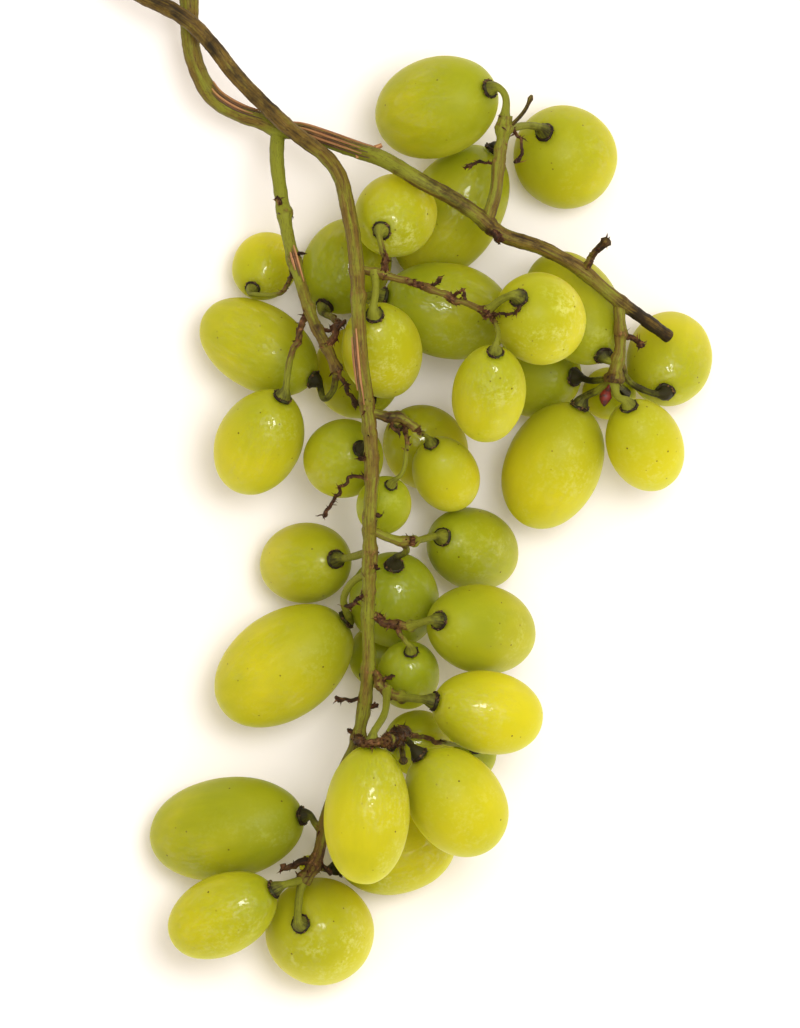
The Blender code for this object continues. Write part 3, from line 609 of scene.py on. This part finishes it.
# Parent, plan points, radius, rise of the tip and how rusty it is, in tenths
stubs = [
    ("right", [(36.6, 48.2), (38.8, 51.8), (41.2, 54.8)], 1.3, 2.0, 6),
    ("right", [(18.4, 57.0), (19.4, 55.4), (20.4, 54.4)], 1.2, 1.7, 10),
    ("upperTwig", [(20.8, 76.0), (24.6, 79.8), (26.2, 83.2)], 0.65, 1.5, 2),
    ("upperTwig", [(20.8, 77.0), (24.0, 74.8), (24.4, 72.4), (22.6, 69.8)], 0.55, 0.6, 9),
    ("upperTwig", [(19.6, 69.6), (17.0, 69.8), (13.0, 68.8)], 0.5, 1.0, 9),
    ("endTwig", [(43.8, 36.0), (46.0, 35.2), (48.2, 33.2)], 0.9, 0.8, 9),
    ("twig1", [(5.6, 44.6), (7.0, 46.0), (8.4, 46.8)], 0.5, 1.0, 7),
    ("twig1", [(10.0, 42.8), (12.4, 44.4), (13.2, 42.4)], 0.5, 1.4, 9),
    ("twig1", [(17.4, 39.9), (21.8, 39.2), (23.8, 41.2)], 0.5, 0.8, 7),
    ("left", [(-23.2, 60.0), (-25.0, 62.6)], 0.5, 1.0, 9),
    ("left", [(-16.4, 36.6), (-12.4, 37.4), (-10.8, 38.4)], 0.6, 1.2, 8),
    ("left", [(-12.6, 28.8), (-10.0, 24.4), (-8.8, 21.0)], 0.75, 0.0, 7),
    ("long", [(-5.8, 7.4), (-10.4, 6.6), (-13.4, 2.2), (-15.0, -0.6)], 0.6, 0.0, 10),
    ("long", [(-6.0, 11.4), (-8.2, 10.8)], 0.5, 0.8, 10),
    ("long", [(-5.8, -0.6), (-3.6, -0.2)], 0.5, 0.9, 10),
    ("long", [(-6.2, -9.8), (-4.0, -10.8)], 0.5, 0.9, 10),
    ("left", [(-21.2, 51.0), (-18.8, 51.8)], 0.45, 0.9, 9),
    ("twig2", [(-2.2, 19.2), (-1.8, 17.4), (0.0, 15.6)], 0.5, 0.4, 8),
    ("long", [(-6.2, -15.4), (-9.2, -17.6), (-11.0, -18.2)], 0.6, 0.6, 9),
    ("long", [(-7.0, -37.0), (-10.0, -37.4), (-12.8, -36.2)], 0.6, 0.6, 9),
    ("long", [(-7.4, -39.6), (-4.4, -37.8)], 0.55, 0.8, 9),
    ("long", [(-8.2, -44.0), (-10.4, -42.8)], 0.55, 0.8, 9),
    ("twig5", [(-3.6, -33.4), (-1.0, -32.2)], 0.55, 0.8, 9),
    ("twig6", [(0.0, -44.0), (0.4, -46.6), (0.7, -49.2)], 1.0, 0.6, 2),
    ("long", [(-16.8, -69.2), (-14.0, -72.0)], 0.6, 0.6, 9),
]

# The one dried red bud, from the same twig cluster as the grapes at the right
redBud = ("endTwig", [(42.6, 27.2), (40.8, 23.4), (40.6, 21.4)], 0.9, 1.0, 0)


def runAlong(points):
    return np.concatenate([[0.0], np.cumsum(np.linalg.norm(np.diff(points, axis=0), axis=1))])


def evenly(points, spacing):
    run = runAlong(points)
    count = max(2, int(round(run[-1] / spacing)) + 1)
    even = np.linspace(0.0, run[-1], count)
    return np.stack([np.interp(even, run, column) for column in points.T], axis=1)


def smoothPlan(points):
    # close points on a Catmull-Rom curve through the given ones
    known = [np.array(point[:2], dtype=float) for point in points]
    known = [2 * known[0] - known[1]] + known + [2 * known[-1] - known[-2]]
    fine = []
    for before, start, end, after in zip(known, known[1:], known[2:], known[3:]):
        for t in np.arange(0.0, 1.0, 0.1):
            fine.append(0.5 * (2 * start + (end - before) * t
                               + (2 * before - 5 * start + 4 * end - after) * t ** 2
                               + (3 * start - before - 3 * end + after) * t ** 3))
    fine.append(known[-2])
    return evenly(np.array(fine), stem["step"])


def heightLimits(plan, radius, below=()):
    least = np.full(len(plan), radius + stem["clearance"])
    most = np.full(len(plan), np.inf)
    for grape in grapes.values():
        low, high = grape.heights(plan[:, 0], plan[:, 1], radius + stem["clearance"])
        if grape.number in below:
            most = np.fmin(most, low)
        else:
            least = np.fmax(least, high)
    return least, most


def pullTight(heights, held, least, most):
    # free heights hang straight between the held ones, over what is in the way
    heights = heights.copy()
    free = np.array([index for index in range(1, len(heights) - 1) if not held[index]], dtype=int)
    for sweep in range(stem["pullSweeps"]):
        turn = free[free % 2 == sweep % 2]
        middle = (heights[turn - 1] + heights[turn + 1]) / 2
        heights[turn] = np.maximum(np.minimum(middle, most[turn]), least[turn])
    return heights


def planGap(route, point):
    # how far each point of a route is from the given one, seen from above
    return np.hypot(route[:, 0] - point[0], route[:, 1] - point[1])


def nearest(route, point):
    return int(np.argmin(planGap(route, point)))


def heightOn(parent, point):
    return routes[parent][nearest(routes[parent], point)][2]


def finishRoute(route, rounds=3):
    # even steps, with the small corners rounded off and the ends kept
    path = evenly(route, stem["finish"])
    for _ in range(rounds):
        path[1:-1] = (path[:-2] + 2 * path[1:-1] + path[2:]) / 4
    return path


def barkAlong(values, count):
    # woodiness, rust and darkness, given in tenths, for each of the path's points
    marks = np.linspace(0.0, 1.0, len(values))
    steps = np.linspace(0.0, 1.0, count)
    columns = np.array(values, dtype=float).T / 10
    return np.column_stack([np.interp(steps, marks, column) for column in columns])


routes = {}


def traceStalk(name):
    parent, startRadius, endRadius, points = stalks[name]
    plan = smoothPlan(points)
    least, most = heightLimits(plan, startRadius, passedUnder.get(name, ()))
    marks = [(nearest(plan, point), point[2]) for point in points if len(point) == 3]
    if parent:
        marks.insert(0, (0, heightOn(parent, plan[0])))
    run = runAlong(plan)
    held = np.zeros(len(plan), dtype=bool)
    heights = np.interp(run, [run[index] for index, _ in marks], [height for _, height in marks])
    for index, height in marks:
        held[index] = True
        heights[index] = height if parent else max(min(height, most[index]), least[index])
    if not held[-1]:
        heights[-1] = max(least[-1], heights[0])
    routes[name] = np.column_stack([plan, pullTight(heights, held, least, most)])
    path = finishRoute(routes[name])
    radii = np.linspace(startRadius, endRadius, len(path))
    kinds = barkAlong(stalkBark[name], len(path))
    leaving = [row[3][0] for row in stalks.values() if row[0] == name]
    leaving += [row[2][0] for row in pedicels if row[1] == name]
    leaving += [row[1][0] for row in stubs if row[0] == name]
    swelling = stem["knuckle"] * stem["fullKnuckleRadius"] / max(startRadius, stem["fullKnuckleRadius"])
    for point in leaving:
        # swollen and rusty where something grows out
        near = bell(planGap(path, point), 0.0, stem["knuckleLength"])
        radii = radii * (1 + swelling * near)
        kinds[:, 1] = np.maximum(kinds[:, 1], stem["knuckleRust"] * near)
    return path, radii, kinds


def tracePedicel(row):
    number, parent, points, straight, kind = row
    grape = grapes[number]
    small = grape.smallness(stem["fullPedicelHalfWidth"])
    leave = grape.pole(straight)
    plan = smoothPlan(points + [leave])
    least, most = heightLimits(plan, stem["pedicelRadius"] * small, passedUnder.get(number, ()))
    heights = np.linspace(heightOn(parent, plan[0]), leave[2], len(plan))
    held = np.zeros(len(plan), dtype=bool)
    route = np.column_stack([plan, pullTight(heights, held, least, most)])
    path = finishRoute(np.vstack([route, grape.pole(stem["capGap"] - 0.1)]))
    run = runAlong(path)
    values, thickness = pedicelBark[kind]
    shown = stem["shownPedicel"] * thickness * small
    foot = stem["pedicelFoot"] * np.exp(-run / stem["pedicelFootLength"])
    left = np.clip((run[-1] - run) / min(stem["flareLength"], stem["flarePart"] * run[-1]), 0.0, 1.0)
    flareRadius = stem["flareRadius"] * grape.smallness(stem["fullCapHalfWidth"])
    flare = (flareRadius / shown - 1) * (1 - eased(left)) ** stem["flarePower"]
    return path, shown * (1 + foot + flare), barkAlong(values, len(path))


# Width of a dried stub as parts of its radius, and in millimetres where its foot and its knob are
stub = {
    "middle": 0.8, "foot": 0.6, "footLength": 0.9, "end": 0.55,
    "knob": 0.55, "knobPlace": 0.7, "knobLength": 0.6,
}


def traceStub(row):
    parent, points, radius, rise, rust = row
    plan = smoothPlan(points)
    least, _ = heightLimits(plan, radius)
    heights = heightOn(parent, plan[0]) + rise * np.linspace(0.0, 1.0, len(plan))
    heights[1:] = np.maximum(heights[1:], least[1:])
    path = finishRoute(np.column_stack([plan, heights]))
    run = runAlong(path)
    width = stub["middle"] + stub["foot"] * np.exp(-run / stub["footLength"])
    width += stub["knob"] * bell(run[-1] - run, stub["knobPlace"], stub["knobLength"])
    width[-1] = stub["end"]
    kinds = barkAlong([(6, rust, 3), (6, rust, 5), (7, rust, 6)], len(path))
    return path, radius * stem["stubThickness"] * width, kinds


# Bark of the stem

bark = {
    "freshColour": shade(124, 126, 34), "woodyColour": shade(108, 84, 30), "rustColour": shade(68, 34, 20),
    # the pale colour is pale bark fibre and painted highlight together
    "darkColour": shade(26, 20, 10), "streakColour": shade(60, 42, 22), "paleColour": shade(164, 146, 80),
    "fleckColour": shade(52, 32, 20), "tanColour": shade(146, 100, 60), "roughness": 0.56,
    "shader": {"Specular IOR Level": 0.17}, "bump": (0.7, 0.0003),
    "sides": 14, "spacing": 0.4, "furrow": 0.18, "unevenness": 0.14, "crook": 3.2,
    "lumpScale": 420.0, "patternAround": 2.4, "patternAlong": 130.0, "grooves": (0.9, 3.0, 0.6),
    "spurDensity": 900000.0, "spurLength": 1.7, "spurRadius": 0.16, "spurKind": (0.7, 0.9, 0.35),
    "spurTilts": ((-0.9, -0.9, 0.0), (0.9, 0.9, 6.0)), "spurSizes": ((0.5, 0.5, 0.3), (1.4, 1.4, 1.3)),
    "spurWander": (1400.0, 0.7), "seed": 3,
    "noises": {
        "object": {"patches": (210.0, 4.0, 0.6), "grain": (1100.0, 3.0)},
        "barkCoord": {"streaks": (1.2, 5.0, 0.65), "threads": (3.2, 3.0, 0.6), "blotch": (0.45, 3.0, 0.6),
                      "stain": (0.6, 4.0, 0.7), "flecks": (7.0,)},
    },
}


def makeBark():
    make = newMaterial("bark")
    woody, rusty, dark = make.split(make.attribute("barkKind", "Vector"))
    noise = make.noises(bark["noises"])
    patches = noise.patches - 0.5
    age = woody + patches * 0.7 + (noise.streaks - 0.5) * 0.5 + (noise.blotch - 0.5) * 1.5
    colour = make.mix(age.grade(0.2, 0.72), bark["freshColour"], bark["woodyColour"])
    # pale threads: the bark's own pale fibres, and also painted highlight along the stalk
    pale = noise.threads.grade(0.54, 0.72, 0.0, 0.55) * age.grade(0.3, 0.8)
    colour = make.mix(pale, colour, bark["paleColour"])
    lines = noise.streaks.grade(0.46, 0.70) * woody.grade(0.1, 0.7, 0.1, 0.55)
    colour = make.mix(lines, colour, bark["streakColour"])
    rust = (rusty + patches * 0.8 + (noise.grain - 0.5) * 0.6).grade(0.38, 0.75, 0.0, 0.95)
    peel = (noise.grain * 0.5 + noise.threads * 0.5).grade(0.5, 0.62)
    colour = make.mix(rust, colour, make.mix(peel, bark["rustColour"], bark["tanColour"]))
    gloom = dark + patches * 1.5 + (noise.threads - 0.5) * 0.6 + (noise.stain - 0.5) * woody * 1.8
    colour = make.mix(gloom.grade(0.2, 0.85, 0.0, 0.94), colour, bark["darkColour"])
    flecks = (noise.flecks + woody * 0.06).grade(0.60, 0.70, 0.0, 0.75)
    relief = noise.streaks * 0.7 + noise.threads * 0.5 + noise.grain * 0.4 * rusty.grade(0.1, 0.8, 0.6, 2.0)
    return make.paint({
        **bark["shader"], "Base Color": make.mix(flecks, colour, bark["fleckColour"]),
        "Roughness": patches * 0.4 + bark["roughness"], "Normal": make.bump(*bark["bump"], relief),
    })


def bendCurve(make, port, rusty, factor):
    # even points, crooked where the bark is rusty but not at the ends
    curve = make.node("GeometryNodeMeshToCurve", {"Mesh": port["Geometry"]})
    spacing = {"Curve": curve, "Length": port["Spacing"]}
    curve = make.node("GeometryNodeResampleCurve", spacing, mode="LENGTH")
    free = (factor * 6).work("MINIMUM", (1 - factor) * 9).work("MINIMUM", 1.0)
    bend = make.scaled(make.wander(bark["lumpScale"]), port["Crook"] * rusty.grade(0.25, 0.8) * free)
    return make.shift(curve, bend)


def makeSpurs(make, port, tube, rusty):
    # small leaning cones on the rusty bark
    cone = make.node("GeometryNodeMeshCone", {
        "Vertices": 6, "Side Segments": 3, "Radius Top": 0.0, "Radius Bottom": port["Spur Radius"],
        "Depth": port["Spur Length"]})
    density = port["Spur Density"] * rusty.grade(0.35, 0.9)
    points = make.scatter(tube, density, port["Seed"])
    upright = make.scatter(tube, density, port["Seed"], "Rotation")
    points = make.store(points, "spurTurn", upright, "QUATERNION")
    tilt = make.anyVector(bark["spurTilts"], port["Seed"])
    turns = {"Rotation": make.named("spurTurn", "QUATERNION"), "Rotate By": tilt}
    lean = make.node("FunctionNodeRotateRotation", turns, rotation_space="LOCAL")
    spurs = make.copies(points, cone, make.anyVector(bark["spurSizes"], port["Seed"]), lean)
    scale, reach = bark["spurWander"]
    spurs = make.shift(spurs, make.scaled(make.wander(scale), reach * mm))
    return make.store(spurs, "barkKind", bark["spurKind"], "FLOAT_VECTOR")


def makeStalkTree(values):
    make, port = newGeometryTree("stalkTubes", values)
    rusty = make.split(make.named("barkKind", "FLOAT_VECTOR"))[1]
    factor = make.node("GeometryNodeSplineParameter", {}, "Factor")
    curve = bendCurve(make, port, rusty, factor)
    curve = make.store(curve, "runLength", make.node("GeometryNodeSplineParameter", {}, "Length"))
    lump = make.noise(make.node("GeometryNodeInputPosition"), bark["lumpScale"], 3.0) - 0.5
    width = make.named("tubeRadius") * (lump * port["Unevenness"] * (rusty * 1.5 + 1) * 2 + 1)
    ring = make.store(make.circle(port["Sides"], 1.0), "turnAngle", factor * (2 * math.pi))
    ring = make.node("GeometryNodeTransform", {
        "Geometry": ring, "Scale": make.combine(1.0, port["Flatness"], 1.0)})
    tube = make.node("GeometryNodeCurveToMesh", {
        "Curve": curve, "Profile Curve": ring, "Scale": width, "Fill Caps": True})
    angle = make.named("turnAngle")
    coord = make.combine(
        angle.work("COSINE") * bark["patternAround"], angle.work("SINE") * bark["patternAround"],
        make.named("runLength") * bark["patternAlong"] + lump)
    tube = make.store(tube, "barkCoord", coord, "FLOAT_VECTOR")
    groove = make.noise(coord, *bark["grooves"]) - 0.5
    tube = make.shift(tube, make.scaled(make.node("GeometryNodeInputNormal"), groove * port["Furrow"]))
    return closeTree(make, [tube, makeSpurs(make, port, tube, rusty)], port["Bark"])


def pathsMesh(name, paths):
    # one line of linked points for each path, with its radius and kind of bark
    points, edges, radii, kinds = [], [], [], []
    for path, widths, barkKinds in paths:
        first = len(points)
        points.extend(Vector((place + planShift) * mm) for place in path)
        edges.extend((first + index, first + index + 1) for index in range(len(path) - 1))
        radii.extend(widths * mm)
        kinds.extend(barkKinds)
    mesh = bpy.data.meshes.new(name)
    mesh.from_pydata(points, edges, [])
    setPointValues(mesh, "tubeRadius", radii)
    setPointValues(mesh, "barkKind", kinds, "FLOAT_VECTOR")
    return mesh


tubeValues = {
    "Spacing": bark["spacing"] * mm, "Sides": bark["sides"], "Furrow": bark["furrow"] * mm,
    "Unevenness": bark["unevenness"], "Crook": bark["crook"] * mm, "Flatness": 1.0,
    "Spur Density": bark["spurDensity"], "Spur Length": bark["spurLength"] * mm,
    "Spur Radius": bark["spurRadius"] * mm, "Seed": bark["seed"], "Bark": makeBark(),
}
stalkTree = makeStalkTree(tubeValues)


def growTubes(name, paths, changes=None):
    mesh = runTree(name, stalkTree, {**tubeValues, **(changes or {})}, pathsMesh(name + "Paths", paths))
    addPiece(name, mesh, "stem")
    print(name, "made", len(mesh.polygons))


stalkPaths = {name: traceStalk(name) for name in stalks}
growTubes("stalks", list(stalkPaths.values()))
growTubes("pedicels", [tracePedicel(row) for row in pedicels])
growTubes("driedStubs", [traceStub(row) for row in stubs])


# Strips of split bark and the red bud

# Stalk, plan points where the strips start and end, sideways place, how many, and the curl of the end
strips = [
    ("right", (-38.6, 86.0), (-26.8, 78.8), -1.1, 4, 0.0),
    ("right", (-22.4, 77.2), (-4.4, 71.4), -0.4, 6, 1.4),
    ("left", (-22.6, 52.8), (-20.2, 45.4), -0.2, 3, 0.4),
    ("long", (-9.6, 36.6), (-8.6, 21.6), 1.1, 3, 0.9),
]

# Plan points of the curled lip where the long strips of the right stalk end, its radius, lift and rise
stripLip = ([(-8.8, 71.2), (-6.6, 71.7), (-4.6, 72.9), (-3.6, 73.4)], 0.75, 1.6, 0.6)

strip = {
    "paleColour": shade(190, 140, 88), "brownColour": shade(124, 72, 42), "darkColour": shade(50, 26, 14),
    "width": 0.27, "flatness": 0.5, "spread": 0.5, "lift": 0.14, "darkStrand": 0.75,
    "shader": {"Roughness": 0.7}, "bump": (0.6, 0.0002),
    "noises": {"barkCoord": {"lines": (0.9, 3.0, 0.6)}, "object": {"patches": (260.0,)}},
}
bud = {
    "colour": shade(108, 22, 12), "shadow": shade(52, 14, 10), "patchScale": 900.0,
    "shader": {"Roughness": 0.5}, "stalk": 0.35, "end": 0.15,
    "swell": 0.95, "swellPlace": 2.0, "swellLength": 1.3,
}


def makeStripMaterial():
    make = newMaterial("splitBark")
    noise = make.noises(strip["noises"])
    colour = make.mix(noise.lines.grade(0.42, 0.60), strip["paleColour"], strip["brownColour"])
    # strips carry how dark they are where bark carries how woody it is
    strand = make.split(make.attribute("barkKind", "Vector"))[0]
    gloom = (noise.lines + noise.patches - 1 + strand).grade(0.1, 0.9, 0.0, 0.9)
    return make.paint({
        **strip["shader"], "Base Color": make.mix(gloom, colour, strip["darkColour"]),
        "Normal": make.bump(*strip["bump"], noise.lines),
    })


def unit(rows):
    return rows / np.linalg.norm(rows, axis=1)[:, None]


def traceStrips():
    paths = []
    for name, start, end, side, count, curl in strips:
        path, radii, _ = stalkPaths[name]
        first, last = sorted(nearest(path, point) for point in (start, end))
        for strand in range(count):
            # the strands start and end at uneven places
            low = first + (strand * 5) % 4
            high = last - (strand * 7) % 5
            part = path[low:high + 1].copy()
            ahead = unit(np.gradient(part, axis=0))
            aside = unit(np.cross(ahead, [0.0, 0.0, 1.0]))
            over = np.cross(aside, ahead)
            across = side + (strand - (count - 1) / 2) * strip["spread"]
            reach = radii[low:high + 1] + strip["lift"]
            lean = np.clip(across / reach, -0.98, 0.98)
            steps = np.linspace(0.0, 1.0, len(part))
            part += aside * (reach * lean)[:, None] + over * (reach * np.sqrt(1 - lean ** 2))[:, None]
            part += over * (curl * steps ** 6)[:, None]
            width = strip["width"] * (0.35 + 0.65 * np.sin(np.pi * np.clip(steps * 0.9 + 0.08, 0, 1)))
            gloom = strip["darkStrand"] * (strand % 2)
            paths.append((part, width * (1 - 0.4 * gloom), np.tile([gloom, 0.0, 0.0], (len(part), 1))))
    return paths


def traceLip():
    points, radius, lift, rise = stripLip
    plan = smoothPlan(points)
    steps = np.linspace(0.0, 1.0, len(plan))
    path = np.column_stack([plan, heightOn("right", plan[0]) + lift + rise * steps])
    return path, radius * (0.5 + 0.5 * np.sin(np.pi * np.clip(steps, 0.06, 0.94))), np.zeros((len(plan), 3))


def makeBudMaterial():
    make = newMaterial("redBud")
    patches = make.noise(make.objectPlace(), bud["patchScale"], 3.0)
    colour = make.mix(patches.grade(0.45, 0.65), bud["colour"], bud["shadow"])
    return make.paint({**bud["shader"], "Base Color": colour})


def traceBud():
    path, _, kinds = traceStub(redBud)
    run = runAlong(path)
    swell = bell(run[-1] - run, bud["swellPlace"], bud["swellLength"])
    width = bud["stalk"] + bud["swell"] * swell
    width[-1] = bud["end"]
    return path, width, kinds * 0


growTubes("splitBark", traceStrips() + [traceLip()],
          {"Bark": makeStripMaterial(), "Flatness": strip["flatness"], "Spur Density": 0.0})
growTubes("redBud", [traceBud()], {"Bark": makeBudMaterial(), "Spur Density": 0.0})


# Pedicel caps, the dark warty rims that hold the grapes

cap = {
    "ringRadius": 1.64, "ringThickness": 0.37, "ringSides": 40, "rimSides": 10, "gap": 0.15, "roughen": 0.8,
    "roughenScale": 520.0, "wartDensity": 2200000.0, "wartSize": 0.18,
    "wartSizes": ((0.4, 0.4, 0.4), (1.4, 1.4, 1.2)), "seed": 5,
    "shader": {"Roughness": 0.55, "Specular IOR Level": 0.2},
    "rimColour": shade(32, 20, 10), "wartColour": shade(104, 76, 44), "greenColour": shade(52, 54, 22),
    "bump": (0.6, 0.0003), "noises": {"object": {"patches": (700.0, 3.0), "specks": (1300.0, 1.0)}},
}


def makeCapMaterial():
    make = newMaterial("pedicelCap")
    noise = make.noises(cap["noises"])
    colour = make.mix(noise.patches.grade(0.48, 0.68), cap["rimColour"], cap["greenColour"])
    pale = make.attribute("wartPale") * noise.specks.grade(0.35, 0.6)
    return make.paint({
        **cap["shader"], "Base Color": make.mix(pale, colour, cap["wartColour"]),
        "Normal": make.bump(*cap["bump"], noise.patches),
    })


def makeCapTree(values):
    make, port = newGeometryTree("pedicelCaps", values)
    path = make.circle(cap["ringSides"], port["Ring Radius"])
    profile = make.circle(cap["rimSides"], port["Ring Thickness"])
    ring = make.node("GeometryNodeCurveToMesh", {"Curve": path, "Profile Curve": profile})
    facing = {"Vector": make.named("capFacing", "FLOAT_VECTOR")}
    aim = make.node("FunctionNodeAlignRotationToVector", facing, axis="Z")
    rings = make.copies(port["Geometry"], ring, make.named("capScale"), aim)
    rings = make.shift(rings, make.scaled(make.wander(cap["roughenScale"], 4.0), port["Roughen"]))
    grain = make.node("GeometryNodeMeshIcoSphere", {"Radius": port["Wart Size"], "Subdivisions": 2})
    points = make.scatter(rings, port["Wart Density"], port["Seed"])
    warts = make.copies(points, grain, make.anyVector(cap["wartSizes"], port["Seed"]))
    parts = [make.store(rings, "wartPale", 0.0), make.store(warts, "wartPale", 1.0)]
    return closeTree(make, parts, port["Cap"])


def capPoints():
    mesh = bpy.data.meshes.new("capPoints")
    order = list(grapes.values())
    mesh.from_pydata([Vector((grape.pole(cap["gap"]) + planShift) * mm) for grape in order], [], [])
    setPointValues(mesh, "capFacing", [grape.axis for grape in order], "FLOAT_VECTOR")
    setPointValues(mesh, "capScale", [grape.smallness(stem["fullCapHalfWidth"]) for grape in order])
    return mesh


capValues = {
    "Ring Radius": cap["ringRadius"] * mm, "Ring Thickness": cap["ringThickness"] * mm,
    "Roughen": cap["roughen"] * mm, "Wart Density": cap["wartDensity"], "Wart Size": cap["wartSize"] * mm,
    "Seed": cap["seed"], "Cap": makeCapMaterial(),
}
capMesh = runTree("pedicelCaps", makeCapTree(capValues), capValues, capPoints())
addPiece("pedicelCaps", capMesh, "stem")
print("caps made", len(capMesh.polygons))


# Table, light and camera

stage = {
    "tableSize": 3.0, "tableDrop": 0.0001,
    "tableShader": {"Base Color": (0.98, 0.92, 0.94, 1.0), "Roughness": 0.6},
    "world": {"Color": (1.0, 0.94, 0.76, 1.0), "Strength": 0.75},
    "skyPlace": (0.25, 0.2, 1.2), "skySize": 1.4, "skyPower": 6.0,
    "lampPlace": (0.22, 0.12, 1.1), "lampSize": 0.4, "lampPower": 6.0,
}


def makeTable():
    bpy.ops.mesh.primitive_plane_add(size=stage["tableSize"], location=(0.0, 0.0, -stage["tableDrop"]))
    table = bpy.context.object
    table.name = "table"
    table.data.materials.append(newMaterial("table").paint(stage["tableShader"]))


def addAreaLight(name):
    light = bpy.data.lights.new(name, "AREA")
    light.size = stage[name + "Size"]
    light.energy = stage[name + "Power"]
    lamp = addObject(name, light)
    lamp.location = stage[name + "Place"]
    lamp.rotation_euler = lamp.location.to_track_quat("Z", "Y").to_euler()


def setWorld():
    world = bpy.data.worlds.new("softRoom")
    world.use_nodes = True
    for name, value in stage["world"].items():
        world.node_tree.nodes["Background"].inputs[name].default_value = value
    scene.world = world


view = {"millimetresHigh": 205.6, "distance": 2.6, "focusHeight": 0.015, "filmHeight": 24.0}


def makeCamera():
    camera = bpy.data.cameras.new("camera")
    camera.sensor_fit = "VERTICAL"
    camera.sensor_height = view["filmHeight"]
    camera.lens = view["filmHeight"] * view["distance"] / (view["millimetresHigh"] * mm)
    scene.camera = addObject("camera", camera)
    scene.camera.location = (planShift[0] * mm, planShift[1] * mm, view["distance"] + view["focusHeight"])


makeTable()
setWorld()
addAreaLight("sky")
addAreaLight("lamp")
makeCamera()
scene.view_settings.view_transform = "Standard"
print("table, light and camera set")
